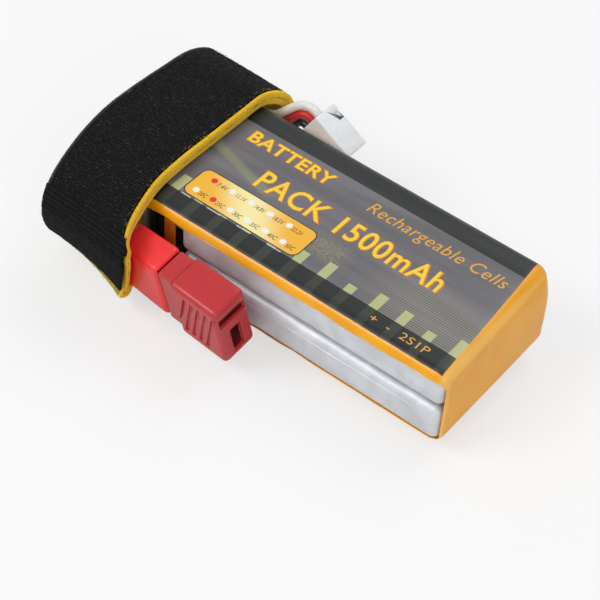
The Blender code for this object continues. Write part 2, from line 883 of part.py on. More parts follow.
def around(points, at):
    """The point at a place, counted in points, on a closed Catmull-Rom curve."""
    count = len(points)
    i = math.floor(at)
    t = at - i
    a, b, c, d = (Vector(points[(i + k) % count]) for k in (-1, 0, 1, 2))
    return 0.5 * (
        2 * b
        + (c - a) * t
        + (2 * a - 5 * b + 4 * c - d) * t**2
        + (3 * b - a - 3 * c + d) * t**3
    )


def under_flap(at):
    """How far the strap lies under the flap: 1 beneath it, and 0 away from it."""
    share = min(at - FLAP_START, FLAP_END - at) / FLAP_STEP + FLAP_CLEAR
    share = min(1.0, max(0.0, share))
    return share * share * (3.0 - 2.0 * share)


def outline(at, share):
    """The outer face: it keeps the rear edge's shape, then swells towards the front."""
    rear = around(REAR_LINE, at)
    front = around(FRONT_LINE, at)
    swell = share * share
    return Vector(
        (
            rear.x + (front.x - rear.x) * share,
            rear.y + (front.y - rear.y) * swell,
            rear.z + (front.z - rear.z) * swell,
        )
    )


def strap_point(at, share, depth):
    """A place on the strap: round it, across it from the rear edge, and into it."""
    here = outline(at, share)
    along = outline(at + 0.05, share) - outline(at - 0.05, share)
    inward = Vector((0.0, along.z, -along.y)).normalized()
    return (here + inward * depth) * MM


def strap_layer(name, finish, stretch, shares, depths, squeezed=None):
    """A layer of the strap: a whole loop, or a stretch of it with closed ends.

    Depths are those of the layer's two faces, and squeezed those beneath the flap."""
    start, end = stretch
    loop = end - start >= len(FRONT_LINE)
    steps = max(2, round((end - start) * STRAP_STEPS))
    rows = steps if loop else steps + 1
    bm = bmesh.new()
    grid = []
    for k in range(rows):
        at = start + (end - start) * k / steps
        outer, inner = depths
        if squeezed:
            blend = under_flap(at)
            outer += (squeezed[0] - outer) * blend
            inner += (squeezed[1] - inner) * blend
        row = []
        for face, depth in ((shares, outer), (shares[::-1], inner)):
            for share in (face[0], (face[0] + face[1]) / 2, face[1]):
                row.append(bm.verts.new(strap_point(at, share, depth)))
        grid.append(row)
    for k in range(steps):
        a = grid[k]
        b = grid[(k + 1) % rows]
        for i in range(len(a)):
            j = (i + 1) % len(a)
            bm.faces.new((a[i], a[j], b[j], b[i]))
    if not loop:
        bm.faces.new(grid[0])
        bm.faces.new(grid[-1])
    bmesh.ops.recalc_face_normals(bm, faces=bm.faces)
    mesh = bpy.data.meshes.new(name)
    bm.to_mesh(mesh)
    bm.free()
    return linked(name, mesh, finish)


def strap():
    """The band, its lining, its two bound edges and the flap that closes it."""
    whole = (0.0, float(len(FRONT_LINE)))
    width = FRONT_LINE[0][0] - REAR_LINE[0][0]
    edge = STRAP_EDGE / width
    between = (edge + GAP / width, 1.0 - edge - GAP / width)
    band = (0.0, STRAP_BAND)
    lining = (STRAP_BAND + GAP, STRAP_BAND + GAP + STRAP_LINING)
    hooks = (FLAP_PILE + GAP, FLAP_PILE + GAP + FLAP_HOOKS)
    low_band = (hooks[1] + GAP, hooks[1] + GAP + UNDER_FLAP_BAND)
    low_lining = (low_band[1] + GAP, low_band[1] + GAP + UNDER_FLAP_LINING)
    strap_layer("strap_band", BLACK_WEB, whole, between, band, low_band)
    strap_layer("strap_lining", YELLOW_WEB, whole, between, lining, low_lining)
    edges = (("strap_edge_front", (1.0 - edge, 1.0)), ("strap_edge_rear", (0.0, edge)))
    for name, shares in edges:
        bound = (band[0], lining[1])
        low_bound = (low_band[0], low_lining[1])
        strap_layer(name, YELLOW_WEB, whole, shares, bound, low_bound)
    flap = (FLAP_START, FLAP_END)
    strap_layer("strap_flap", BLACK_WEB, flap, (0.0, 1.0), (0.0, FLAP_PILE))
    strap_layer("flap_lining", YELLOW_WEB, flap, between, hooks)


def build():
    printed_sleeve()
    cell("lower_cell", LOWER_CELL)
    cell("upper_cell", UPPER_CELL)
    cell_adhesive_pad()
    tab("tab_lower_positive", LOWER_CELL, -TAB_OFFSET, False)
    tab("tab_lower_negative", LOWER_CELL, TAB_OFFSET, False)
    tab("tab_upper_positive", UPPER_CELL, TAB_OFFSET, True)
    tab("tab_upper_negative", UPPER_CELL, -TAB_OFFSET, True)
    tab_tape()
    terminal_board()
    foam_spacer()
    solder_joint("solder_positive", RED_EXIT_Z)
    solder_joint("solder_negative", BLACK_EXIT_Z)
    end_insulator()
    plug_place = (LEAD_END + PLUG_AHEAD, -SIDE - PLUG_BESIDE - PLUG_THICKNESS, 0.0)
    plug = frame_at("t_plug", plug_place, (PLUG_LEAN, 0.0, PLUG_YAW))
    plug_housing(plug)
    plug_contacts(plug)
    plug_cap(plug)
    lead_shrink("shrink_red", LEAD_HEIGHTS[0], RED_RUBBER, plug)
    lead_shrink("shrink_black", LEAD_HEIGHTS[1], BLACK_RUBBER, plug)
    balance_place = (LEAD_END + BALANCE_AHEAD, SIDE + BALANCE_BESIDE, BALANCE_UP)
    balance = frame_at("balance_plug", balance_place, (0.0, BALANCE_PITCH_DOWN, 0.0))
    balance_housing(balance)
    balance_terminals(balance)
    lead("main_lead_red", RED_ROUTE, -SIDE, MAIN_LEAD, RED_RUBBER)
    lead("main_lead_black", BLACK_ROUTE, -SIDE, MAIN_LEAD, BLACK_RUBBER)
    finishes = (("white", WHITE_RUBBER), ("red", RED_RUBBER), ("black", BLACK_RUBBER))
    for (colour, finish), route in zip(finishes, BALANCE_ROUTES):
        lead("balance_lead_" + colour, route, SIDE, BALANCE_LEAD, finish)
    strap()


build()
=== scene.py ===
"""Looks of a two-cell battery pack with its leads, plugs and hook-and-loop strap."""

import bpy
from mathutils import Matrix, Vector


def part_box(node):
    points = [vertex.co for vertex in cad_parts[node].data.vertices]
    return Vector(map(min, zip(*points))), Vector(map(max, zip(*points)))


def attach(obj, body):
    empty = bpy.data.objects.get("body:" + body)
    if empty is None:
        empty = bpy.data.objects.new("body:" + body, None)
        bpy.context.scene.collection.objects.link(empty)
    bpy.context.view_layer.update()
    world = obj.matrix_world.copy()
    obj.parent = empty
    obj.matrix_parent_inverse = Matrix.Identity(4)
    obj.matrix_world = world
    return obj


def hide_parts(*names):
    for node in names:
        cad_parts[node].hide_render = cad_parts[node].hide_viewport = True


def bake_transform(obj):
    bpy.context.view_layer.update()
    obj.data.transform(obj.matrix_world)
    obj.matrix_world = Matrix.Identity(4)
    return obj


bl_info = {
    "name": "Battery Pack Builder",
    "version": (1, 0, 0),
    "blender": (4, 5, 0),
    "location": "View3D > Sidebar > Battery",
    "description": "Builds a two-cell battery pack with its leads, plugs and strap",
    "category": "Add Mesh",
}

import math
import random

import bmesh
import bpy
from bpy.props import FloatProperty, FloatVectorProperty, IntProperty, PointerProperty
from mathutils import Euler, Matrix, Vector, noise

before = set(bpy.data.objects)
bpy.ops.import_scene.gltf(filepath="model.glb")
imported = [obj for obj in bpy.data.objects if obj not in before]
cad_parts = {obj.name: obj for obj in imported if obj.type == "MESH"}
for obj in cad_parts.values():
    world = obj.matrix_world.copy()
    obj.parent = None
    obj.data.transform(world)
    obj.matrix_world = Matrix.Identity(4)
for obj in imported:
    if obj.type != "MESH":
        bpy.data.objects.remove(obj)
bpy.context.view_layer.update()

MM = 0.001


def corners(node):
    """A CAD node's lowest and highest corner, in millimetres."""
    low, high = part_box(node)
    return low / MM, high / MM


SLEEVE_LOW, SLEEVE_HIGH = corners("printed_sleeve")
LEAD_END = SLEEVE_LOW.x
PLAIN_END = SLEEVE_HIGH.x
SIDE = SLEEVE_HIGH.y
TOP = SLEEVE_HIGH.z
TAPE_LOW, TAPE_HIGH = corners("tab_tape")
END_PULL = 2.2  # how far the film draws the plain end's far top corner back
END_PULL_LENGTH = 14.0  # how far along the pack that reaches
END_PULL_SPREAD = 1.3  # how it gathers towards the far side, as a power
WHITE = (1.0, 1.0, 1.0)


def tone(red, green, blue):
    """A colour given as it looks, from 0 to 255, as the linear colour that a shader takes."""
    linear = []
    for part in (red, green, blue):
        share = part / 255.0
        linear.append(share / 12.92 if share <= 0.04045 else ((share + 0.055) / 1.055) ** 2.4)
    return tuple(linear)


# ---------------------------------------------------------------- settings


def length(name, description, default):
    """A size in millimetres."""
    return FloatProperty(name=name, description=description, default=default, min=0.0)


def angle(name, description, degrees):
    """An angle, given in degrees."""
    return FloatProperty(
        name=name, description=description, default=math.radians(degrees), subtype="ANGLE"
    )


def paint(name, description, default):
    """A colour."""
    return FloatVectorProperty(
        name=name, description=description, default=default, subtype="COLOR", min=0.0, max=1.0
    )


class FilmSettings(bpy.types.PropertyGroup):
    """The printed sleeve and what is printed on it."""

    wall: length("Wall", "Thickness of the film, mm", 0.4)
    corner: length("Corner", "Radius of the sleeve's edges, mm", 2.6)
    lip_top: length("Top lip", "How far the film turns down the sides, mm", 2.05)
    lip_bottom: length("Bottom lip", "How far the film turns up the sides, mm", 0.32)
    lip_plain: length("Plain end lip", "Film left at the plain end of the sides, mm", 0.45)
    lip_lead: length("Lead end lip", "Film left at the lead end of the sides, mm", 2.2)
    end_lip: length("Mouth lip", "Film turned over the lead end, mm", 3.0)
    yellow: paint("Yellow", "Unprinted film", tone(238, 164, 28))
    dark: paint("Dark bands", "Printed bands along both sides", tone(22, 25, 25))
    grey: paint("Grey field", "Printed field between the bands", tone(106, 104, 108))
    bars: paint("Bars", "Pale printed bars", tone(196, 202, 140))
    lettering: paint("Lettering", "Fill of the lettering", tone(246, 205, 42))
    outline: paint("Lettering's outline", "Edge of the lettering", tone(206, 122, 20))


class CellSettings(bpy.types.PropertyGroup):
    """The pouch cells and the tape round their terraces."""

    corner: length("Corner", "Radius of a cell's edges, mm", 1.7)
    terrace: length("Terrace", "Length of the sealed terrace, mm", 4.5)
    terrace_inset: length("Terrace inset", "Terrace's setback from the sides, mm", 1.3)
    seam: length("Seam", "Thickness of the folded side seam, mm", 0.13)
    tape: length("Tape", "Thickness of the amber tape, mm", 0.3)
    foil: paint("Foil", "Laminated aluminium pouch", tone(214, 217, 222))
    amber: paint("Amber", "Tape round the terraces", tone(214, 136, 34))


class PlugSettings(bpy.types.PropertyGroup):
    """The power plug and its cap."""

    grooves: IntProperty(name="Grooves", description="Grip grooves on each flat side", default=5)
    groove: length("Groove", "Depth of a grip groove, mm", 0.38)
    groove_width: length("Groove width", "Width of a grip groove, mm", 0.75)
    groove_pitch: length("Groove pitch", "Distance between the grooves, mm", 1.75)
    body: paint("Body", "Nylon of the housing", tone(184, 22, 30))
    cap: paint("Cap", "Moulded cap over the joints", tone(238, 36, 40))
    gold: paint("Contacts", "Gold-plated blades", tone(232, 190, 110))


class LeadSettings(bpy.types.PropertyGroup):
    """The power leads and the balance leads."""

    main: length("Power lead", "Diameter of a power lead, mm", 3.2)
    balance: length("Balance lead", "Diameter of a balance lead, mm", 1.7)
    red: paint("Red", "Red silicone", tone(206, 30, 34))
    black: paint("Black", "Black silicone", tone(24, 24, 25))
    white: paint("White", "White silicone", tone(228, 228, 224))
    nylon: paint("Balance plug", "Milky nylon", tone(226, 229, 232))


class StrapSettings(bpy.types.PropertyGroup):
    """The hook-and-loop strap."""

    band: length("Band", "Thickness of the black webbing, mm", 1.5)
    lining: length("Lining", "Thickness of the yellow lining, mm", 1.1)
    edge: length("Edge", "Width of a bound edge, mm", 1.0)
    stitch: length("Stitch", "Distance between the binding's stitches, mm", 0.5)
    pile: length("Pile", "Thickness of the flap's pile, mm", 0.7)
    hooks: length("Hooks", "Thickness of the flap's hook side, mm", 0.4)
    fibres: IntProperty(name="Fibres", description="Loose fibres on the webbing", default=2600)
    black: paint("Webbing", "Black nylon", tone(19, 19, 20))
    yellow: paint("Binding", "Yellow thread", tone(252, 206, 22))
    green: paint("Lining", "Brushed lining", tone(198, 176, 30))


class StageSettings(bpy.types.PropertyGroup):
    """Camera, floor and lights."""

    azimuth: angle("Azimuth", "Camera's turn", 35.04)
    elevation: angle("Elevation", "Camera's height", 47.26)
    roll: angle("Roll", "Camera's tilt to one side", -4.37)
    distance: length("Distance", "From the camera to the pack, mm", 336.76)
    pan: FloatVectorProperty(
        name="Pan", description="Camera's place across and up, mm", default=(-7.4, -5.77), size=2
    )
    lens: FloatProperty(
        name="Lens", description="Focal length", default=109.83, subtype="DISTANCE_CAMERA"
    )
    floor: paint("Floor", "Floor and backdrop", tone(238, 238, 238))


# ---------------------------------------------------------------- shader expressions


class Value:
    """A node's output. Arithmetic on it adds Math nodes."""

    def __init__(self, finish, socket):
        self.finish = finish
        self.socket = socket

    def __add__(self, other):
        return self.finish.maths("ADD", self, other)

    def __radd__(self, other):
        return self.finish.maths("ADD", other, self)

    def __sub__(self, other):
        return self.finish.maths("SUBTRACT", self, other)

    def __rsub__(self, other):
        return self.finish.maths("SUBTRACT", other, self)

    def __mul__(self, other):
        return self.finish.maths("MULTIPLY", self, other)

    def __rmul__(self, other):
        return self.finish.maths("MULTIPLY", other, self)

    def __truediv__(self, other):
        return self.finish.maths("DIVIDE", self, other)

    def __abs__(self):
        return self.finish.maths("ABSOLUTE", self)

    def sine(self):
        return self.finish.maths("SINE", self)

    def floor(self):
        return self.finish.maths("FLOOR", self)

    def fraction(self):
        return self.finish.maths("FRACT", self)

    def larger(self, other):
        return self.finish.maths("MAXIMUM", self, other)

    def smaller(self, other):
        return self.finish.maths("MINIMUM", self, other)

    def rise(self, low, high):
        """0 below low, 1 above high, and smooth between them."""
        return self.finish.node(
            "ShaderNodeMapRange",
            {"interpolation_type": "SMOOTHSTEP"},
            {"Value": self, "From Min": low, "From Max": high},
        )


class Nodes:
    """A node tree, whose nodes are added by expressions."""

    def __init__(self, tree):
        self.tree = tree

    def feed(self, target, inputs):
        """Sets a node's sockets, or links them."""
        for key, given in inputs.items():
            socket = target.inputs[key]
            if isinstance(given, Value):
                self.tree.links.new(given.socket, socket)
            elif socket.type == "RGBA":
                socket.default_value = (*tuple(given)[:3], 1.0)
            else:
                socket.default_value = given

    def node(self, kind, settings, inputs, output=0):
        """Adds a node: its settings first, and then its sockets."""
        made = self.tree.nodes.new(kind)
        for key, setting in settings.items():
            setattr(made, key, setting)
        self.feed(made, inputs)
        return Value(self, made.outputs[output])

    def maths(self, operation, *given):
        return self.node("ShaderNodeMath", {"operation": operation}, dict(enumerate(given)))


class Finish(Nodes):
    """A material with a Principled BSDF."""

    def __init__(self, name, colour, roughness, metallic=0.0, **fixed):
        self.material = bpy.data.materials.new(name)
        self.material.use_nodes = True
        self.material.diffuse_color = (*colour, 1.0)
        super().__init__(self.material.node_tree)
        self.shader = self.tree.nodes["Principled BSDF"]
        self.surface(Base_Color=colour, Roughness=roughness, Metallic=metallic, **fixed)

    def place(self):
        """The surface's place on the object, in millimetres."""
        spot = self.node("ShaderNodeTexCoord", {}, {}, "Object")
        return self.node("ShaderNodeVectorMath", {"operation": "SCALE"}, {0: spot, "Scale": 1.0 / MM})

    def weave(self):
        """The place along and across a length of webbing, in millimetres."""
        return self.node("ShaderNodeUVMap", {"uv_map": "weave"}, {})

    def parts(self, vector):
        """A vector's three numbers."""
        return [self.node("ShaderNodeSeparateXYZ", {}, {0: vector}, axis) for axis in "XYZ"]

    def stretched(self, vector, by):
        return self.node("ShaderNodeVectorMath", {"operation": "MULTIPLY"}, {0: vector, 1: by})

    def grain(self, vector, scale, detail=3.0):
        """Noise about 0.5."""
        return self.node("ShaderNodeTexNoise", {}, {"Vector": vector, "Scale": scale, "Detail": detail})

    def lumps(self, vector, scale):
        """Distance to the nearest of scattered points."""
        return self.node("ShaderNodeTexVoronoi", {}, {"Vector": vector, "Scale": scale})

    def mixed(self, share, first, second):
        """A colour between two."""
        return self.node("ShaderNodeMix", {"data_type": "RGBA"}, {0: share, 6: first, 7: second}, 2)

    def relief(self, height, depth):
        """Relief of a depth in millimetres."""
        bump = self.node("ShaderNodeBump", {}, {"Height": height, "Strength": 1.0, "Distance": depth * MM})
        self.feed(self.shader, {"Normal": bump})

    def surface(self, **inputs):
        """Feeds the shader's sockets, such as Base_Color."""
        self.feed(self.shader, {key.replace("_", " "): given for key, given in inputs.items()})
        return self


def darker(colour, share):
    return tuple(part * share for part in colour)


def plain_finish(name, colour, roughness, metallic=0.0, mottle=0.18, depth=0.03, scale=1.6, **fixed):
    """A moulded, cast or rubbed surface: mottled colour, uneven gloss and a fine grain."""
    made = Finish(name, tuple(colour), roughness, metallic, **fixed)
    spot = made.place()
    cloud = made.grain(spot, scale)
    fine = made.grain(spot, scale * 9.0)
    colour = tuple(colour)
    made.surface(
        Base_Color=made.mixed(cloud, darker(colour, 1.0 - mottle), darker(colour, 1.0 + 0.5 * mottle)),
        Roughness=roughness + (fine - 0.5) * 0.16,
    )
    made.relief(fine * 0.6 + cloud * 0.4, depth)
    return made


# ---------------------------------------------------------------- shapes


def shown(name, mesh, finish, angle=35.0):
    """A new object of this mesh, smooth but for its sharp edges."""
    made = bpy.data.objects.new(name, mesh)
    bpy.context.scene.collection.objects.link(made)
    mesh.shade_smooth()
    mesh.set_sharp_from_angle(angle=math.radians(angle))
    if finish:
        mesh.materials.clear()
        mesh.materials.append(finish.material)
    return made


def from_bmesh(name, bm, finish=None, angle=35.0):
    bmesh.ops.recalc_face_normals(bm, faces=bm.faces)
    mesh = bpy.data.meshes.new(name)
    bm.to_mesh(mesh)
    bm.free()
    return shown(name, mesh, finish, angle)


def block(name, low, high, cuts=(1, 1, 1)):
    """A box between two corners in millimetres, divided along x, y and z."""
    bm = bmesh.new()
    bmesh.ops.create_cube(bm, size=1.0)
    for axis, count in enumerate(cuts):
        for k in range(1, count):
            at = Vector((0.0, 0.0, 0.0))
            normal = Vector((0.0, 0.0, 0.0))
            at[axis] = k / count - 0.5
            normal[axis] = 1.0
            everything = bm.verts[:] + bm.edges[:] + bm.faces[:]
            bmesh.ops.bisect_plane(bm, geom=everything, plane_co=at, plane_no=normal)
    for vertex in bm.verts:
        vertex.co = Vector(
            [(a + (b - a) * (c + 0.5)) * MM for a, b, c in zip(low, high, vertex.co)]
        )
    return from_bmesh(name, bm)


def disc(bm, radius, thick, sides, middle=(0.0, 0.0, 0.0)):
    """Adds an upright cylinder about a point, in millimetres."""
    bmesh.ops.create_cone(
        bm,
        cap_ends=True,
        segments=sides,
        radius1=radius * MM,
        radius2=radius * MM,
        depth=thick * MM,
        matrix=Matrix.Translation(Vector(middle) * MM),
    )


def pin(name, radius, start, end, sides=32):
    """A cylinder between two points, in millimetres."""
    start, end = Vector(start), Vector(end)
    bm = bmesh.new()
    disc(bm, radius, (end - start).length, sides)
    turn = (end - start).to_track_quat("Z", "Y").to_matrix().to_4x4()
    bmesh.ops.transform(bm, matrix=Matrix.Translation((start + end) / 2 * MM) @ turn, verts=bm.verts)
    return from_bmesh(name, bm)


def round_outline(low, high, corner, spacing=100.0):
    """Points round a rectangle with round corners, counterclockwise."""
    points = []
    for sign_x, sign_y, start in ((1, 1, 0), (-1, 1, 90), (-1, -1, 180), (1, -1, 270)):
        middle_x = (high[0] if sign_x > 0 else low[0]) - sign_x * corner
        middle_y = (high[1] if sign_y > 0 else low[1]) - sign_y * corner
        for k in range(9):
            turn = math.radians(start + 90.0 * k / 8)
            points.append((middle_x + corner * math.cos(turn), middle_y + corner * math.sin(turn)))
    fine = []
    for here, then in zip(points, points[1:] + points[:1]):
        steps = max(1, int(math.dist(here, then) / spacing))
        fine += [tuple(a + (b - a) * k / steps for a, b in zip(here, then)) for k in range(steps)]
    return fine


def raised(name, points, step, finish=None):
    """A solid between an outline in millimetres and the same outline one step further."""
    near = [Vector(point) for point in points]
    far = [point + Vector(step) for point in near]
    return lofted(name, [near, far], finish, angle=35.0)


def opening(name, points, near, far):
    """A cutter: an outline in x and z, from one y to another."""
    return raised(name, [(x, near, z) for x, z in points], (0.0, far - near, 0.0))


def rounded(piece, width, segments=4, angle=40.0):
    rounding = piece.modifiers.new("rounding", "BEVEL")
    rounding.width = width * MM
    rounding.segments = segments
    rounding.limit_method = "ANGLE"
    rounding.angle_limit = math.radians(angle)
    rounding.use_clamp_overlap = False
    return piece


def slackened(piece):
    """Draws the plain end back at its far top edge, where the film pulls the cells round."""
    for vertex in piece.data.vertices:
        spot = vertex.co / MM
        near_end = max(0.0, (spot.x - PLAIN_END + END_PULL_LENGTH) / END_PULL_LENGTH)
        far = max(0.0, min(1.0, (spot.y + SIDE) / (2.0 * SIDE)))
        up = max(0.0, (spot.z - TOP / 2) / (TOP / 2))
        vertex.co.x -= END_PULL * MM * near_end**2 * far**END_PULL_SPREAD * up**2
    return piece


def worked(piece, operation, *others):
    """Cuts the others from a piece, or joins them to it."""
    for other in others:
        work = piece.modifiers.new(operation.lower(), "BOOLEAN")
        work.operation = operation
        work.solver = "EXACT"
        work.object = other
    return piece


def applied(piece):
    """A new mesh of the piece as its modifiers leave it."""
    bpy.context.view_layer.update()
    seen = piece.evaluated_get(bpy.context.evaluated_depsgraph_get())
    return bpy.data.meshes.new_from_object(seen)


def settled(piece, finish, *tools, angle=35.0):
    """The piece with its modifiers applied, and its tools removed."""
    mesh = applied(piece)
    name = piece.name
    for old in (piece, *tools):
        bpy.data.objects.remove(old, do_unlink=True)
    made = shown(name, mesh, finish, angle)
    made.name = name
    mesh.name = name
    return made


def lofted(name, rows, finish, along=None, across=None, ring=True, loop=False, angle=60.0):
    """A skin over rows of points in millimetres. Along and across, where given, are each row's and
    each point's place on the flat webbing, with one more value where the skin closes on itself."""
    bm = bmesh.new()
    grid = [[bm.verts.new(point * MM) for point in row] for row in rows]
    flat = bm.loops.layers.uv.new("weave") if along else None
    count = len(rows[0])
    for k in range(len(rows) if loop else len(rows) - 1):
        a, b = grid[k], grid[(k + 1) % len(rows)]
        for i in range(count if ring else count - 1):
            j = (i + 1) % count
            face = bm.faces.new((a[i], a[j], b[j], b[i]))
            if flat:
                spots = ((k, i), (k, i + 1), (k + 1, i + 1), (k + 1, i))
                for corner, (u, v) in zip(face.loops, spots):
                    corner[flat].uv = (along[u], across[v])
    if ring and not loop:
        bm.faces.new(grid[0])
        bm.faces.new(grid[-1])
    return from_bmesh(name, bm, finish, angle)


def carried(piece, body, slot, *nodes):
    """The piece moves with a body and stands for these CAD nodes, which it hides. Its slot is not used."""
    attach(piece, body)
    if nodes:
        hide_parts(*nodes)
    return piece


def dressed(node, finish):
    """Gives a CAD node its finish."""
    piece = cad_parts[node]
    if not piece.material_slots:
        piece.data.materials.append(finish.material)
    for slot in piece.material_slots:
        slot.material = finish.material
    return piece


def catmull(a, b, c, d, t):
    """A point between b and c on a smooth curve through four points."""
    return 0.5 * (
        2 * b
        + (c - a) * t
        + (2 * a - 5 * b + 4 * c - d) * t**2
        + (3 * b - a - 3 * c + d) * t**3
    )


# ---------------------------------------------------------------- leads

# Routes from the terminal board to the plugs: along from the lead end, across from the
# side that their plug is on, and up, in millimetres
RED_ROUTE = [
    (1.3, 9.0, 13.2), (-1.5, 9.0, 13.2), (-4.3, 8.6, 13.2), (-6.8, 7.4, 13.1),
    (-8.6, 5.4, 12.9), (-9.3, 2.8, 12.6), (-8.8, 0.1, 12.3), (-7.2, -2.2, 12.05),
    (-4.7, -3.8, 11.9), (-1.7, -4.8, 11.8), (1.3, -5.29, 11.78), (4.37, -5.53, 11.78),
    (9.5, -5.93, 11.78), (14.54, -6.33, 11.78),
]
BLACK_ROUTE = [
    (1.3, 9.0, 5.2), (-1.5, 9.0, 5.2), (-4.1, 8.6, 5.2), (-6.4, 7.4, 5.25),
    (-8.0, 5.4, 5.3), (-8.5, 3.0, 5.4), (-7.9, 0.5, 5.5), (-6.2, -1.6, 5.55),
    (-3.7, -2.9, 5.55), (-1.0, -3.5, 5.55), (1.7, -3.8, 5.55), (4.48, -4.04, 5.55),
    (9.5, -4.43, 5.55), (14.65, -4.84, 5.55),
]
BALANCE_LOOP = [
    (2.6, -6.9), (0.1, -6.9), (-2.5, -6.8), (-5.1, -6.0), (-7.0, -4.3), (-7.6, -2.3),
    (-7.0, -0.3), (-5.3, 1.3),
]


def balance_route(height, rest):
    """The loop that the balance leads share, at one lead's height, and then that lead's own way."""
    return [(along, across, height) for along, across in BALANCE_LOOP] + rest


BALANCE_ROUTES = [
    balance_route(13.2, [
        (-2.9, 2.0, 13.2), (-0.5, 2.1, 13.2), (1.7, 2.1, 13.3), (3.9, 2.2, 13.8),
        (5.6, 2.4, 15.0), (7.2, 2.8, 16.6), (8.8, 3.3, 18.1), (10.5, 3.6, 19.1),
        (12.2, 3.77, 19.15), (13.81, 3.77, 18.34), (16.81, 3.77, 16.54),
    ]),
    balance_route(10.8, [
        (-2.9, 2.0, 10.8), (-0.5, 2.1, 10.8), (1.9, 2.1, 10.8), (4.1, 2.3, 11.1),
        (5.8, 2.6, 12.4), (7.4, 3.1, 14.2), (9.0, 3.5, 15.9), (10.7, 3.77, 16.75),
        (12.52, 3.77, 16.2), (15.52, 3.77, 14.4),
    ]),
    balance_route(8.2, [
        (-2.9, 2.1, 8.2), (-0.5, 2.5, 8.1), (1.8, 3.0, 8.1), (4.0, 3.7, 8.5),
        (5.7, 4.4, 9.5), (7.2, 4.7, 11.1), (8.5, 4.5, 12.9), (9.9, 4.0, 14.2),
        (11.24, 3.77, 14.06), (14.24, 3.77, 12.26),
    ]),
]
RED_LENGTH = 0.042
BLACK_LENGTH = 0.0397
BALANCE_LENGTHS = (0.0421, 0.0409, 0.0402)
POINT_SPACING = 1.0


def along_route(route, side):
    """Evenly spaced points on a smooth curve through a route, in millimetres."""
    ends = [Vector((LEAD_END + x, side + y, z)) for x, y, z in route]
    fine = []
    for i in range(len(ends) - 1):
        near = [ends[min(max(i + k, 0), len(ends) - 1)] for k in (-1, 0, 1, 2)]
        fine += [catmull(*near, k / 12) for k in range(12)]
    fine.append(ends[-1])
    even = [fine[0]]
    for point in fine[1:-1]:
        if (point - even[-1]).length >= POINT_SPACING:
            even.append(point)
    if (fine[-1] - even[-1]).length < POINT_SPACING / 2:
        even.pop()
    return even + [fine[-1]]


def lead(name, route, side, diameter, finish, slot):
    """A silicone lead, which stands for the CAD lead of the same name."""
    points = along_route(route, side)
    curve = bpy.data.curves.new(name + "_line", "CURVE")
    curve.dimensions = "3D"
    curve.bevel_depth = diameter / 2 * MM
    curve.bevel_resolution = 7
    curve.use_fill_caps = True
    line = curve.splines.new("POLY")
    line.points.add(len(points) - 1)
    line.use_smooth = True
    for at, point in zip(line.points, points):
        at.co = (*(point * MM), 1.0)
    curve.materials.append(finish.material)
    made = bpy.data.objects.new(name + "_jacket", curve)
    bpy.context.scene.collection.objects.link(made)
    carried(made, "pack", slot, name)
    return made, points[0] * MM


def silicone(name, colour):
    """Soft, dusty silicone with a faint sheen."""
    return plain_finish(name, colour, 0.42, mottle=0.14, depth=0.02, scale=1.1, Sheen_Weight=0.25)


class BATTERY_OT_leads(bpy.types.Operator):
    """Adds the two power leads and the three balance leads"""

    bl_idname = "battery.leads"
    bl_label = "Leads"

    def execute(self, context):
        sizes = context.scene.battery_leads
        red = silicone("red silicone", sizes.red)
        black = silicone("black silicone", sizes.black)
        white = silicone("white silicone", sizes.white)
        mains = (
            ("main_lead_red", RED_ROUTE, red, "red_silicone", RED_LENGTH),
            ("main_lead_black", BLACK_ROUTE, black, "black_silicone", BLACK_LENGTH),
        )
        for name, route, finish, slot, real in mains:
            made, start = lead(name, route, -SIDE, sizes.main, finish, slot)
        finishes = (("white", white), ("red", red), ("black", black))
        for (colour, finish), route, real in zip(finishes, BALANCE_ROUTES, BALANCE_LENGTHS):
            name = "balance_lead_" + colour
            made, start = lead(name, route, SIDE, sizes.balance, finish, colour + "_silicone")
        return {"FINISHED"}


# ---------------------------------------------------------------- sleeve and print

LABEL_LOW = (-36.5, -16.35)
LABEL_HIGH = (33.8, 16.65)
NEAR_BAND = -12.0
FAR_BAND = 11.4
BAR_FIRST = -1.1
BAR_PITCH = 5.65
BAR_HALF = 0.95
PANEL = ((-28.1, -11.45), (-2.0, -4.05))
PANEL_CORNER = 1.5
PANEL_RIM = 0.22
PRINT = 0.02  # thickness of a printed layer
DOT = 0.66
CAPITAL = 0.72  # height of a capital, as a share of the font's size
LETTER_GAP = 1.07  # the letters' spacing, as a share of their own
TITLE_EDGE = 0.17  # how far the title's edge and its fill swell
TITLE_SWELL = 0.05
VOLTS = ("7.4V", "11.1V", "14.8V", "18.5V", "22.2V")
VOLT_FIRST, VOLT_PITCH, VOLT_ROW = -25.0, 4.37, -5.8
RATES = ("20C", "25C", "30C", "35C", "40C", "50C")
RATE_FIRST, RATE_PITCH, RATE_ROW = -26.1, 4.05, -9.75


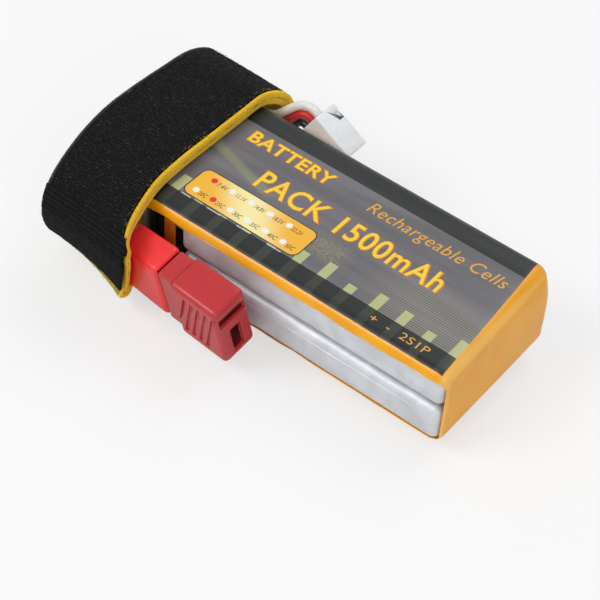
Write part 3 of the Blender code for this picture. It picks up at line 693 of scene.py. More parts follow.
def film_finish(sizes):
    """Glossy film: yellow, with a grey field, two dark bands and pale bars on its top."""
    made = Finish("printed film", tuple(sizes.yellow), 0.3, 0.0, Specular_IOR_Level=0.32)
    spot = made.place()
    x, y, z = made.parts(spot)
    cloud = made.grain(spot, 0.09, 2.0)
    fine = made.grain(spot, 2.4)
    wander = (made.grain(spot, 0.35) - 0.5) * 0.18
    yellow = made.mixed(cloud.rise(0.3, 0.7), tone(232, 156, 14), tone(240, 168, 22))
    far = ((y + SIDE) / (2.0 * SIDE)).larger(0.0)
    pulled = made.maths("POWER", far, END_PULL_SPREAD) * END_PULL
    # Painted reflection: on the plain end's rounded edges, near the near side, the top and the bottom, the
    # yellow is mixed halfway towards a pale colour. This stands in for the glossy film's highlight there.
    border = (y + SIDE).smaller(TOP - z).smaller(z + 0.4)
    stretched = x.rise(PLAIN_END - 2.4, PLAIN_END - 0.9) * (1.0 - border.rise(1.3, 2.3))
    yellow = made.mixed(stretched * 0.5, yellow, tone(250, 206, 128))
    left_right = (x - LABEL_LOW[0] + wander).smaller(LABEL_HIGH[0] - pulled - x + wander)
    near_far = (y - LABEL_LOW[1] + wander).smaller(LABEL_HIGH[1] - y + wander)
    printed = left_right.smaller(near_far).rise(-0.05, 0.05) * z.rise(TOP - 3.0, TOP - 2.6)
    across = (x - BAR_FIRST) / BAR_PITCH + 0.5
    number = across.floor()
    off_bar = abs(across.fraction() - 0.5) * BAR_PITCH
    bar = 1.0 - off_bar.rise(BAR_HALF - 0.06, BAR_HALF + 0.06)
    reach = (number * 2.3).sine() * 1.1 + (NEAR_BAND + 3.1)
    tall = 1.0 - (y - reach).rise(-0.05, 0.05)
    speckle = made.grain(spot, 5.0, 4.0)
    streak = made.grain(made.stretched(spot, (0.12, 1.0, 1.0)), 0.32, 3.0)
    field = made.mixed(streak.rise(0.35, 0.7), darker(sizes.grey, 0.82), darker(sizes.grey, 1.14))
    lines = (y * (2.0 * math.pi / 0.52) + x * 0.35).sine().rise(-0.2, 0.9)
    lined = lines * x.rise(6.0, 22.0) * (1.0 - y.rise(-5.0, 2.5)) * 0.6
    field = made.mixed(lined, field, tone(160, 157, 134))
    slash = 1.0 - abs(y - 1.2 + (x + 27.0) * 0.28 + wander * 4.0).rise(0.5, 1.5)
    slash = slash * (1.0 - x.rise(-18.0, -13.0)) * 0.38
    field = made.mixed(slash, field, tone(150, 156, 112))
    dusty = (1.0 - abs(x - 1.5).rise(2.0, 6.0)) * (1.0 - abs(y + 6.0).rise(1.0, 4.0))
    field = made.mixed(dusty * speckle.rise(0.42, 0.62) * 0.7, field, tone(150, 146, 112))
    field = made.mixed(bar * tall * 0.72, field, tuple(sizes.bars))
    near = made.mixed(bar * 0.45, tuple(sizes.dark), tone(66, 70, 60))
    near = made.mixed(streak.rise(0.55, 0.8) * 0.4, near, tone(20, 22, 24))
    label = made.mixed((y + wander * 0.2).rise(NEAR_BAND - 0.04, NEAR_BAND + 0.04), near, field)
    far = made.mixed(streak.rise(0.3, 0.8), darker(sizes.dark, 0.85), tone(42, 46, 46))
    label = made.mixed((y + wander * 0.2).rise(FAR_BAND - 0.05, FAR_BAND + 0.05), label, far)
    dashes = (x * 0.9 + 0.8).sine().rise(0.1, 0.2) * (1.0 - abs(x + 14.5).rise(13.0, 13.4))
    rule = (1.0 - abs(y - NEAR_BAND).rise(0.08, 0.16)) * dashes
    label = made.mixed(rule * 0.85, label, tone(206, 206, 200))
    made.surface(
        Base_Color=made.mixed(printed, yellow, label),
        Roughness=0.24 + (fine - 0.5) * 0.1 + printed * 0.1,
    )
    made.relief(cloud * 0.5 + fine * 0.06, 0.3)
    return made


def ink(name, colour, roughness=0.38):
    """Printed ink, faintly uneven."""
    return plain_finish(name, colour, roughness, mottle=0.1, depth=0.004, scale=2.2)


def panel_finish():
    """Yellow print that fades to a pale middle."""
    made = Finish("panel ink", tone(240, 196, 70), 0.34)
    spot = made.place()
    x, y = made.parts(spot)[:2]
    middle = (PANEL[0][0] + PANEL[1][0]) / 2
    off = abs(x - middle + (y + 7.7) * 0.7) / (PANEL[1][0] - middle)
    pale = 1.0 - off.rise(0.05, 0.75)
    made.surface(
        Base_Color=made.mixed(pale * 0.85, tone(238, 178, 44), tone(246, 238, 176)),
        Roughness=0.34 + (made.grain(spot, 3.0) - 0.5) * 0.1,
    )
    made.relief(made.grain(spot, 3.0), 0.004)
    return made


def plate(name, low, high, corner, bottom, thick, finish):
    """A flat printed layer with round corners."""
    points = [(x, y, bottom) for x, y in round_outline(low, high, corner)]
    return raised(name, points, (0.0, 0.0, thick), finish)


def dots(name, places, bottom, thick, finish):
    """Round printed dots."""
    bm = bmesh.new()
    for x, y in places:
        disc(bm, DOT, thick, 24, (x, y, bottom + thick / 2))
    return from_bmesh(name, bm, finish)


def lettering(name, lines, bottom, thick, finish, swell=0.0):
    """Lines of lettering as one flat layer. A line is its text, its lower left corner, its
    height, its width (or None to keep the letters' own) and its slant."""
    bm = bmesh.new()
    for text, left, base, height, width, slant in lines:
        curve = bpy.data.curves.new(name, "FONT")
        curve.body = text
        curve.size = 1.0
        curve.shear = slant
        curve.resolution_u = 4
        curve.space_character = LETTER_GAP
        curve.offset = swell / height
        curve.extrude = 0.5
        helper = bpy.data.objects.new(name, curve)
        bpy.context.scene.collection.objects.link(helper)
        mesh = applied(helper)
        bpy.data.objects.remove(helper, do_unlink=True)
        reach = max(vertex.co.x for vertex in mesh.vertices) - 2.0 * swell / height
        tall = height / CAPITAL
        wide = width / reach if width else tall
        scale = Matrix.Diagonal((wide * MM, tall * MM, thick * MM, 1.0))
        mesh.transform(Matrix.Translation(Vector((left, base, bottom + thick / 2)) * MM) @ scale)
        bm.from_mesh(mesh)
        bpy.data.meshes.remove(mesh)
    return from_bmesh(name, bm, finish)


TITLE = [
    ("BATTERY", -28.0, 6.95, 3.1, 19.3, 0.0),
    ("PACK 1500mAh", -19.6, -1.9, 4.9, 41.5, 0.0),
]
SMALL = [
    ("Rechargeable Cells", 0.2, 6.5, 2.9, 30.5, 0.22),
    ("+  -  2S1P", 16.6, -14.7, 1.75, 12.6, 0.0),
]


def rating_lines():
    """The value beside each dot of the rating panel."""
    grids = (
        (VOLTS, VOLT_FIRST, VOLT_PITCH, VOLT_ROW, 2.4),
        (RATES, RATE_FIRST, RATE_PITCH, RATE_ROW, 1.9),
    )
    return [
        (text, first + pitch * k + 0.85, row - 0.75, 1.05, width, 0.15)
        for texts, first, pitch, row, width in grids
        for k, text in enumerate(texts)
    ]


class BATTERY_OT_sleeve(bpy.types.Operator):
    """Adds the shrunk film sleeve with its side windows and its mouth"""

    bl_idname = "battery.sleeve"
    bl_label = "Sleeve"

    def execute(self, context):
        sizes = context.scene.battery_film
        film = film_finish(sizes)
        sleeve = block("film_sleeve", SLEEVE_LOW, SLEEVE_HIGH, (20, 10, 5))
        rounded(sleeve, sizes.corner, 10)
        wall = sleeve.modifiers.new("wall", "SOLIDIFY")
        wall.thickness = sizes.wall * MM
        wall.offset = -1.0
        low = (LEAD_END + sizes.lip_lead, sizes.lip_bottom)
        high = (PLAIN_END - sizes.lip_plain, TOP - sizes.lip_top)
        tools = []
        for sign in (-1, 1):
            points = []
            for x, z in round_outline(low, high, 1.9, 0.8):
                drift = noise.noise(Vector((x * 0.16, z * 0.2, 3.0 * sign)))
                fine = noise.noise(Vector((x * 0.7, z * 0.7, 8.0 * sign)))
                away = 1.0 if z > (low[1] + high[1]) / 2 else -0.6
                points.append((x, z + away * (0.34 * drift + 0.07 * fine)))
            edges = sorted((sign * (SIDE - sizes.corner - 1.0), sign * (SIDE + 2.0)))
            tools.append(opening(f"window_{sign}", points, *edges))
        mouth = block(
            "mouth",
            (LEAD_END - 4.0, -SIDE + sizes.end_lip, sizes.end_lip),
            (LEAD_END + 4.0, SIDE - sizes.end_lip, TOP - sizes.end_lip),
        )
        tools.append(rounded(mouth, 1.6, 6))
        worked(sleeve, "DIFFERENCE", *tools)
        sleeve = slackened(settled(sleeve, film, *tools))
        carried(sleeve, "pack", "printed_film", "printed_sleeve")
        return {"FINISHED"}


class BATTERY_OT_print(bpy.types.Operator):
    """Adds the rating panel, its dots and the lettering on the sleeve's top"""

    bl_idname = "battery.print"
    bl_label = "Print"

    def execute(self, context):
        sizes = context.scene.battery_film
        black = ink("black ink", tone(28, 24, 22))
        fill = ink("yellow ink", sizes.lettering)
        edge = ink("orange ink", sizes.outline)
        rim = [[c + sign * PANEL_RIM for c in corner] for sign, corner in zip((-1, 1), PANEL)]
        white = ink("white ink", tone(240, 240, 236))
        red = ink("red ink", tone(228, 20, 20))
        amber = ink("amber ink", tone(222, 160, 44))
        volts = [(VOLT_FIRST + VOLT_PITCH * k, VOLT_ROW) for k in range(len(VOLTS))]
        rates = [(RATE_FIRST + RATE_PITCH * k, RATE_ROW) for k in range(len(RATES))]
        chosen = [volts[0], rates[1]]
        plain = [place for place in volts + rates if place not in chosen]
        made = (
            plate("rating_panel_rim", *rim, PANEL_CORNER + PANEL_RIM, TOP, PRINT, black),
            plate("rating_panel", *PANEL, PANEL_CORNER, TOP, 2 * PRINT, panel_finish()),
            dots("rating_dots", plain, TOP, 3 * PRINT, white),
            dots("rating_dots_chosen", chosen, TOP, 3 * PRINT, red),
            lettering("rating_values", rating_lines(), TOP, 3 * PRINT, black),
            lettering("title_edge", TITLE, TOP, PRINT, edge, TITLE_EDGE),
            lettering("title", TITLE, TOP, 2 * PRINT, fill, TITLE_SWELL),
            lettering("small_lettering", SMALL, TOP, PRINT, amber),
        )
        for piece in made:
            carried(piece, "pack", "printed_film")
        return {"FINISHED"}


# ---------------------------------------------------------------- cells


def foil_finish(colour):
    """Satin aluminium laminate with faint rolling lines along the cell."""
    made = Finish("pouch foil", tuple(colour), 0.5, 0.25, Specular_IOR_Level=0.35)
    spot = made.place()
    rolled = made.grain(made.stretched(spot, (0.06, 1.0, 2.6)), 1.6, 4.0)
    cloud = made.grain(spot, 0.25, 3.0)
    fine = made.grain(spot, 6.0)
    made.surface(
        Base_Color=made.mixed(cloud.rise(0.3, 0.7), darker(colour, 0.84), tuple(colour)),
        Roughness=0.46 + (rolled - 0.5) * 0.2,
    )
    made.relief(rolled * 0.6 + cloud * 0.8 + fine * 0.08, 0.07)
    return made


def tape_finish(colour):
    """Glossy amber film over foil."""
    made = Finish("amber tape", tuple(colour), 0.25, 0.3, Coat_Weight=0.5)
    spot = made.place()
    cloud = made.grain(spot, 0.7, 3.0)
    made.surface(Base_Color=made.mixed(cloud, darker(colour, 0.6), darker(colour, 1.35)))
    made.relief(cloud + made.grain(spot, 4.0) * 0.2, 0.12)
    return made


TERRACE_HALF = 0.25  # half a terrace's thickness
SEAM_STEPS = 60


class BATTERY_OT_cells(bpy.types.Operator):
    """Adds the two pouch cells, their folded side seams and the tape at their terraces"""

    bl_idname = "battery.cells"
    bl_label = "Cells"

    def execute(self, context):
        sizes = context.scene.battery_cells
        foil = foil_finish(sizes.foil)
        for node in ("lower_cell", "upper_cell"):
            low, high = corners(node)
            shoulder = low.x + sizes.terrace
            cell = block(node + "_pouch", (shoulder, low.y, low.z), high, (34, 12, 1))
            rounded(cell, sizes.corner, 8)
            middle = (low.z + high.z) / 2
            inset = sizes.terrace_inset
            terrace_low = (low.x, low.y + inset, middle - TERRACE_HALF)
            terrace_high = (shoulder + 4.0, high.y - inset, middle + TERRACE_HALF)
            terrace = block("terrace", terrace_low, terrace_high)
            worked(cell, "UNION", terrace)
            cell = settled(cell, foil, terrace)
            for vertex in cell.data.vertices:
                spot = vertex.co / MM
                if spot.x > shoulder + 1.0 and abs(spot.z - middle) > 1.0:
                    soft = noise.noise(Vector((spot.x * 0.12, spot.y * 0.12, middle))) - 0.6
                    vertex.co.z += math.copysign(0.12, spot.z - middle) * soft * MM
            carried(slackened(cell), "pack", "pouch_foil", node)
            for name, y, out in (("near", low.y, -1), ("far", high.y, 1)):
                self.seam(f"{node}_seam_{name}", shoulder, high, middle, y, out, sizes.seam, foil)
        low, high = TAPE_LOW, TAPE_HIGH
        past = Vector((4.0, 0.0, 0.0))
        inner = Vector((0.0, sizes.tape, sizes.tape))
        beyond = Vector((0.0, 1.0, 1.0))
        wrap = rounded(block("terrace_tape", low - past, high + past), 1.5, 6)
        hollow = rounded(block("tape_hollow", low - 2 * past + inner, high + 2 * past - inner), 1.2, 6)
        trim = block("tape_length", low - beyond, high + beyond)
        worked(wrap, "DIFFERENCE", hollow)
        worked(wrap, "INTERSECT", trim)
        tape = settled(wrap, tape_finish(sizes.amber), hollow, trim)
        carried(tape, "pack", "amber_tape", "tab_tape")
        return {"FINISHED"}

    def seam(self, name, shoulder, high, middle, y, out, thick, foil):
        """The folded seam: a thin strip that lies along a cell's side and wanders a little."""
        rows = []
        for k in range(SEAM_STEPS + 1):
            x = shoulder + 2.2 + (high.x - shoulder - 5.0) * k / SEAM_STEPS
            drift = noise.noise(Vector((x * 0.13, middle, out))) * 0.22
            bottom, top = middle - 1.9 + drift, middle + 2.1 + drift * 0.5
            fade = min(1.0, min(k, SEAM_STEPS - k) / 2)
            lift = 0.02 + (thick + 0.05 * noise.noise(Vector((x * 0.3, middle, 5.0)))) * fade
            top -= 0.5 * (1.0 - fade)
            section = (
                (0.02, bottom),
                (lift, bottom + 0.12),
                (lift, (bottom + top) / 2),
                (lift * 0.8, top - 0.1),
                (0.02, top),
                (-0.05, top),
                (-0.05, bottom),
            )
            rows.append([Vector((x, y + out * offset, z)) for offset, z in section])
        strip = lofted(name, rows, foil, angle=30.0)
        return carried(slackened(strip), "pack", "pouch_foil")


class BATTERY_OT_end_parts(bpy.types.Operator):
    """Finishes the board, tabs, solder, spacer and insulator, and the pad between the cells"""

    bl_idname = "battery.end_parts"
    bl_label = "End Parts"

    def execute(self, context):
        nickel = plain_finish("nickel", tone(186, 180, 168), 0.3, 1.0, 0.12, 0.02, 2.0)
        tin = plain_finish("solder", tone(186, 186, 182), 0.28, 1.0, 0.2, 0.08, 1.4)
        laminate = plain_finish("laminate", tone(22, 58, 38), 0.4, 0.0, 0.25, 0.03, 1.5)
        sponge = plain_finish("foam", tone(52, 52, 52), 0.9, 0.0, 0.4, 0.3, 3.0)
        fibre = plain_finish("fibre sheet", tone(168, 172, 148), 0.75, 0.0, 0.2, 0.05, 2.5)
        pad = plain_finish("adhesive pad", tone(222, 222, 216), 0.7, 0.0, 0.1, 0.05, 2.0)
        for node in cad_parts:
            if node.startswith("tab_") and node != "tab_tape":
                dressed(node, nickel)
            if node.startswith("solder_"):
                dressed(node, tin)
        for node, finish in (
            ("terminal_board", laminate),
            ("foam_spacer", sponge),
            ("end_insulator", fibre),
            ("cell_adhesive_pad", pad),
        ):
            dressed(node, finish)
        return {"FINISHED"}


# ---------------------------------------------------------------- plugs

PLUG_FRAME = Matrix.Translation(Vector((LEAD_END + 30.9, -SIDE - 8.7, 0.0)) * MM) @ Euler(
    (math.radians(13.5), 0.0, math.radians(-4.5))
).to_matrix().to_4x4()
PLUG_HEIGHT = 16.0
PLUG_THICKNESS = 7.6
PLUG_BODY = 11.5
PLUG_REAR = -15.0
PLUG_CORNER = 1.0
CAP_FRONT = -15.3
CAP_REAR = -26.1
CAP_INSET = 0.5
CAP_TAPER = 1.1
CAP_WALL = 0.7
PLUG_LEADS = (11.2, 4.8)
PLUG_SHOULDER = 0.7  # how far the housing steps in behind its grooved front
BLADE_SLOTS = (  # each slot's half width, bottom and top
    ("cross", 2.9, 11.2, 13.2),
    ("tall", 1.0, 1.9, 8.3),
)
SLOT_MOUTH = 0.25  # how far a slot widens at the plug's face
GROOVE_FIRST = -2.6
GROOVE_LEAN = 17.0
GROOVE_HEIGHT = 0.62 * PLUG_HEIGHT
LEAD_HOLE = 1.9  # radius of the cap's holes
BALANCE_FRAME = Matrix.Translation(Vector((LEAD_END + 10.0, SIDE + 0.9, 12.0)) * MM) @ Euler(
    (0.0, math.radians(31.0), 0.0)
).to_matrix().to_4x4()
BALANCE_SIZE = (9.8, 5.75, 9.8)
BALANCE_WAYS = (7.4, 4.9, 2.4)


def nylon_finish(name, colour, roughness=0.36):
    """Moulded nylon: slightly uneven gloss, and a painted highlight that turns its sharp edges pale."""
    made = Finish(name, tuple(colour), roughness, 0.0, Coat_Weight=0.12, Subsurface_Weight=0.04)
    spot = made.place()
    cloud = made.grain(spot, 0.5, 3.0)
    fine = made.grain(spot, 9.0, 4.0)
    # Painted highlight: where the surface is pointy, at sharp convex edges, the colour is mixed up to
    # halfway towards a paler one.
    edge = made.node("ShaderNodeNewGeometry", {}, {}, "Pointiness").rise(0.52, 0.6)
    colour = tuple(colour)
    body = made.mixed(cloud, darker(colour, 0.84), darker(colour, 1.12))
    pale = tuple(min(1.0, part * 1.25 + 0.05) for part in colour)
    made.surface(Base_Color=made.mixed(edge * 0.5, body, pale), Roughness=roughness + (fine - 0.5) * 0.18)
    made.relief(fine * 0.5 + cloud * 0.3, 0.03)
    return made


def slanted(name, x, width, y_low, y_high):
    """A slanted cutter for a grip groove."""
    half = 0.62 * GROOVE_HEIGHT
    cutter = block(name, (-width / 2, y_low, -half), (width / 2, y_high, half))
    turn = Matrix.Rotation(math.radians(GROOVE_LEAN), 4, "Y")
    cutter.data.transform(Matrix.Translation(Vector((x, 0.0, PLUG_HEIGHT / 2)) * MM) @ turn)
    return cutter


class BATTERY_OT_power_plug(bpy.types.Operator):
    """Adds the power plug's grooved housing and its tapered cap"""

    bl_idname = "battery.power_plug"
    bl_label = "Power Plug"

    def execute(self, context):
        sizes = context.scene.battery_plug
        nylon = nylon_finish("red nylon", sizes.body)
        housing = block("plug_body", (-PLUG_BODY, 0.0, 0.0), (0.0, PLUG_THICKNESS, PLUG_HEIGHT), (4, 4, 6))
        rounded(housing, PLUG_CORNER, 5)
        step = PLUG_SHOULDER
        shoulder_high = (-PLUG_BODY / 2, PLUG_THICKNESS - step, PLUG_HEIGHT - step)
        shoulder = rounded(block("shoulder", (PLUG_REAR, step, step), shoulder_high), 0.5, 3)
        worked(housing, "UNION", shoulder)
        cuts = [self.slot(*blade, PLUG_REAR - 1.0, 0.0, 0.25) for blade in BLADE_SLOTS]
        cuts += [self.slot(*blade, -0.5, SLOT_MOUTH, 0.2) for blade in BLADE_SLOTS]
        sides = (
            (-1.0, sizes.groove),
            (PLUG_THICKNESS - sizes.groove, PLUG_THICKNESS + 1.0),
        )
        for k in range(sizes.grooves):
            x = GROOVE_FIRST - sizes.groove_pitch * k
            for face, (low, high) in enumerate(sides):
                cuts.append(slanted(f"groove_{k}_{face}", x, sizes.groove_width, low, high))
        worked(housing, "DIFFERENCE", *cuts)
        housing = settled(housing, nylon, shoulder, *cuts)
        housing = settled(rounded(housing, 0.12, 2, 50.0), nylon)
        housing.data.transform(PLUG_FRAME)
        carried(housing, "pack", "red_nylon", "t_plug_housing")
        self.cap(sizes)
        gold = plain_finish("gold plate", sizes.gold, 0.24, 1.0, 0.15, 0.02, 2.2)
        for node in ("contact_positive", "contact_negative"):
            dressed(node, gold)
        dressed("shrink_red", silicone("red shrink", tone(176, 26, 30)))
        dressed("shrink_black", silicone("black shrink", tone(26, 26, 27)))
        return {"FINISHED"}

    def slot(self, name, half, bottom, top, rear, wider, corner):
        """A cutter from behind the plug's face, for a blade's slot or for the slot's mouth."""
        middle = PLUG_THICKNESS / 2
        low = (rear, middle - half - wider, bottom - wider)
        high = (1.0, middle + half + wider, top + wider)
        return rounded(block(name, low, high), corner, 2)

    def cap(self, sizes):
        """The cap: as thick all along, lower towards its rear, with a hole for each lead."""

        def tapered(name, front, rear, inset):
            high = (front, PLUG_THICKNESS - inset, PLUG_HEIGHT - inset)
            made = block(name, (rear, inset, inset), high, (6, 2, 4))
            for vertex in made.data.vertices:
                share = (front * MM - vertex.co.x) / ((front - rear) * MM)
                up = vertex.co.z / MM - PLUG_HEIGHT / 2
                vertex.co.z -= share * CAP_TAPER * MM * up / (PLUG_HEIGHT / 2 - inset)
            return made

        cap = rounded(tapered("plug_cap", CAP_FRONT, CAP_REAR, CAP_INSET), PLUG_CORNER, 5)
        hollow = tapered("cap_hollow", CAP_FRONT + 1.0, CAP_REAR + CAP_WALL, CAP_INSET + CAP_WALL)
        middle = PLUG_THICKNESS / 2
        holes = []
        for z in PLUG_LEADS:
            start, end = ((CAP_REAR + x, middle, z) for x in (-2.0, 2.0))
            holes.append(pin(f"lead_hole_{z}", LEAD_HOLE, start, end))
        worked(cap, "DIFFERENCE", hollow, *holes)
        red = nylon_finish("red cap", sizes.cap, 0.4)
        cap = settled(cap, red, hollow, *holes)
        cap = settled(rounded(cap, 0.15, 2, 50.0), red)
        cap.data.transform(PLUG_FRAME)
        carried(cap, "pack", "red_cap", "t_plug_cap")


class BATTERY_OT_balance_plug(bpy.types.Operator):
    """Adds the balance plug's housing with its ribs and ways"""

    bl_idname = "battery.balance_plug"
    bl_label = "Balance Plug"

    def execute(self, context):
        long, thick, wide = BALANCE_SIZE
        nylon = nylon_finish("milky nylon", context.scene.battery_leads.nylon, 0.34)
        housing = rounded(block("balance_plug", (0.0, 0.0, 0.0), BALANCE_SIZE, (3, 2, 3)), 0.4, 4)
        middle = thick / 2
        cuts = []

        def cut(name, x, y, z):
            cuts.append(block(name, *zip(x, y, z)))

        for k, z in enumerate(BALANCE_WAYS):
            cut(f"way_{k}", (3.6, long + 1.0), (middle - 0.75, middle + 0.75), (z - 0.75, z + 0.75))
            cuts.append(pin(f"entry_{k}", 1.15, (-2.0, middle, z), (3.7, middle, z)))
            cut(f"latch_{k}", (4.4, 6.4), (thick - 0.9, thick + 1.0), (z - 0.6, z + 0.6))
        for k, z in enumerate((BALANCE_WAYS[0] - 1.25, BALANCE_WAYS[1] - 1.25)):
            cut(f"slit_{k}", (6.6, long + 1.0), (-1.0, 0.7), (z - 0.2, z + 0.2))
        for k, z in enumerate((-0.6, wide - 0.6)):
            cut(f"key_{k}", (1.4, 3.2), (thick - 1.5, thick + 1.0), (z, z + 1.2))
        worked(housing, "DIFFERENCE", *cuts)
        housing = settled(housing, nylon, *cuts)
        housing = settled(rounded(housing, 0.1, 2, 50.0), nylon)
        housing.data.transform(BALANCE_FRAME)
        carried(housing, "pack", "milky_nylon", "balance_housing")
        gold = plain_finish("crimped terminal", tone(226, 190, 116), 0.26, 1.0, 0.15, 0.02, 2.2)
        for k in (1, 2, 3):
            dressed(f"balance_terminal_{k}", gold)
        return {"FINISHED"}


# ---------------------------------------------------------------- strap

# Outline of the strap's outer face: along from the lead end, across, beyond, level, above.
# Across runs from -1 outside the power plug to 1 outside the far side, and level from 0
# under the pack to 1 over it. Beyond and above are millimetres more.
STRAP_FRONT = [
    (4.5, 0.0, 0.0, 1.0, 0.0), (4.5, 0.5, -1.35, 1.0, 0.0), (4.5, 1.0, -4.3, 1.0, -0.2),
    (4.5, 1.0, 1.4, 1.0, -3.2), (4.5, 1.0, 4.9, 0.5, 5.05), (4.5, 1.0, 6.3, 0.5, 0.45),
    (4.5, 1.0, 5.6, 0.5, -4.95), (4.5, 1.0, 2.7, 0.0, 2.0), (2.3, 1.0, -3.2, 0.0, 0.0),
    (2.2, 0.5, -2.35, 0.0, 0.0), (2.2, 0.0, 0.0, 0.0, 0.0), (2.2, -0.5, 5.15, 0.0, 0.0),
    (2.3, -0.5, -3.35, 0.0, 0.0), (5.1, -1.0, 4.5, 0.0, 1.2), (6.5, -1.0, 0.6, 0.0, 4.6),
    (8.1, -1.0, -1.1, 0.0, 9.6), (9.6, -1.0, -2.4, 0.0, 15.2), (10.4, -1.0, -3.3, 0.0, 19.6),
    (9.7, -1.0, -0.9, 0.0, 22.8), (7.1, -1.0, 4.5, 0.0, 23.6), (5.1, -0.5, -1.35, 1.0, -0.1),
    (4.5, -0.5, 6.65, 1.0, 0.0),
]
STRAP_REAR = [
    (-15.5, 0.0, 0.0, 1.0, 1.0), (-15.5, 0.5, -1.35, 1.0, 0.5), (-15.5, 1.0, -4.5, 1.0, -0.2),
    (-15.5, 1.0, 1.1, 1.0, -2.6), (-15.5, 1.0, 4.7, 0.5, 6.25), (-15.5, 1.0, 6.1, 0.5, 0.85),
    (-15.5, 1.0, 5.3, 0.5, -4.75), (-15.5, 1.0, 2.5, 0.0, 2.0), (-17.4, 1.0, -3.2, 0.0, 0.0),
    (-17.7, 0.5, -2.35, 0.0, 0.0), (-17.7, 0.0, 0.0, 0.0, 0.0), (-17.7, -0.5, 5.65, 0.0, 0.0),
    (-17.2, -0.5, -1.45, 0.0, 0.0), (-14.7, -1.0, 7.9, 0.0, 1.8), (-13.9, -1.0, 4.5, 0.0, 5.6),
    (-13.1, -1.0, 1.7, 0.0, 9.6), (-12.1, -1.0, -0.3, 0.0, 14.2), (-10.9, -1.0, -1.3, 0.0, 19.4),
    (-10.9, -1.0, 0.1, 0.0, 22.8), (-12.3, -1.0, 4.9, 0.0, 24.4), (-14.1, -0.5, -1.35, 1.0, 0.7),
    (-15.3, -0.5, 6.65, 1.0, 1.0),
]
STRAP_GAP = 0.3  # between the layers
STRAP_OFF = 3.2  # from the pack to the strap's outer face
FAR_REACH = SIDE + STRAP_OFF
NEAR_REACH = SIDE + STRAP_OFF + PLUG_THICKNESS
FLAP_START = 14.9
FLAP_END = 17.3
FLAP_STEP = 0.5
FLAP_CLEAR = 1.6
FLAP_OVERHANG = 0.28  # how far the frayed pile reaches past the hook side
UNDER_FLAP_BAND = 0.6
UNDER_FLAP_LINING = 0.5
RIB = 0.62  # distance between the webbing's ribs


def drawn(points):
    """An outline's points, placed from the pack's sizes."""
    placed = []
    for along, across, beyond, level, above in points:
        reach = FAR_REACH if across > 0.0 else NEAR_REACH
        height = level * TOP + (2.0 * level - 1.0) * STRAP_OFF
        placed.append(Vector((LEAD_END + along, across * reach + beyond, height + above)))
    return placed


FRONT_LINE = drawn(STRAP_FRONT)
REAR_LINE = drawn(STRAP_REAR)
WHOLE = (0.0, float(len(STRAP_FRONT)))
FLAP = (FLAP_START, FLAP_END)
STRAP_WIDTH = 20.0


def around(points, at):
    """The point at a place, counted in points, on a closed smooth curve."""
    count = len(points)
    i = math.floor(at)
    return catmull(*[points[(i + k) % count] for k in (-1, 0, 1, 2)], at - i)


def under_flap(at):
    """How far the strap lies under the flap: 1 beneath it, and 0 away from it."""
    share = min(at - FLAP_START, FLAP_END - at) / FLAP_STEP + FLAP_CLEAR
    share = min(1.0, max(0.0, share))
    return share * share * (3.0 - 2.0 * share)


def outline(at, share):
    """The outer face: it keeps the rear edge's shape, then swells towards the front."""
    rear = around(REAR_LINE, at)
    front = around(FRONT_LINE, at)
    swell = share * share
    return Vector(
        (
            rear.x + (front.x - rear.x) * share,
            rear.y + (front.y - rear.y) * swell,
            rear.z + (front.z - rear.z) * swell,
        )
    )


def strap_frame(at, share):
    """A place on the outer face, the way along the strap there, and the way into it."""
    here = outline(at, share)
    along = outline(at + 0.05, share) - outline(at - 0.05, share)
    inward = Vector((0.0, along.z, -along.y)).normalized()
    return here, along.normalized(), inward


def strap_point(at, share, depth):
    """A place on the strap: round it, across it from the rear edge, and into it."""
    here, _, inward = strap_frame(at, share)
    return here + inward * depth


def paced(stretch, spacing, share=0.5, whole=1):
    """Places along a stretch at an even spacing, each with its distance. Their number is a
    multiple of whole."""
    start, end = stretch
    fine = [start + (end - start) * k / 800 for k in range(801)]
    points = [outline(at, share) for at in fine]
    run = [0.0]
    for a, b in zip(points, points[1:]):
        run.append(run[-1] + (b - a).length)
    count = max(1, round(run[-1] / spacing / whole)) * whole
    places = []
    k = 0
    for step in range(count + 1):
        goal = run[-1] * step / count
        while k < 799 and run[k + 1] < goal:
            k += 1
        share_on = (goal - run[k]) / (run[k + 1] - run[k])
        places.append((fine[k] + (fine[k + 1] - fine[k]) * share_on, goal))
    return places


def depths_at(at, outer, inner, low_outer, low_inner):
    """A layer's two depths, which sink beneath the flap."""
    blend = under_flap(at)
    return outer + (low_outer - outer) * blend, inner + (low_inner - inner) * blend


def evenly(low, high, count):
    return [low + (high - low) * k / (count - 1) for k in range(count)]


def ruffled(run, share, along, across, seed):
    """Noise over the webbing, at so many lumps a millimetre along it and so many across it."""
    return noise.noise(Vector((run * along, share * across, seed)))


def worn(share):
    """How far a flap's face is rubbed away at a share of its width: 0 but for its two borders."""
    border = min(share, 1.0 - share) * STRAP_WIDTH
    return 0.25 * max(0.0, 1.0 - border / 0.7) ** 2


def web_skin(name, finish, places, shares, faces, relief, loop=True, back=4, shift=None):
    """A layer of webbing. Faces gives its two depths at a place, and relief how far its outer
    face is sunk at a distance along and a share of the width. Shift moves its places along."""
    rows = []
    behind = evenly(shares[-1], shares[0], back)
    for at, run in places[:-1] if loop else places:
        outer, inner = faces(at)
        front, rear = [
            [(at + shift(run, share) if shift else at, share) for share in side]
            for side in (shares, behind)
        ]
        row = [strap_point(*spot, outer + relief(run, spot[1])) for spot in front]
        row += [strap_point(*spot, inner) for spot in rear]
        rows.append(row)
    across = [s * STRAP_WIDTH for s in shares + behind] + [shares[0] * STRAP_WIDTH]
    return lofted(name, rows, finish, [run for at, run in places], across, loop=loop)


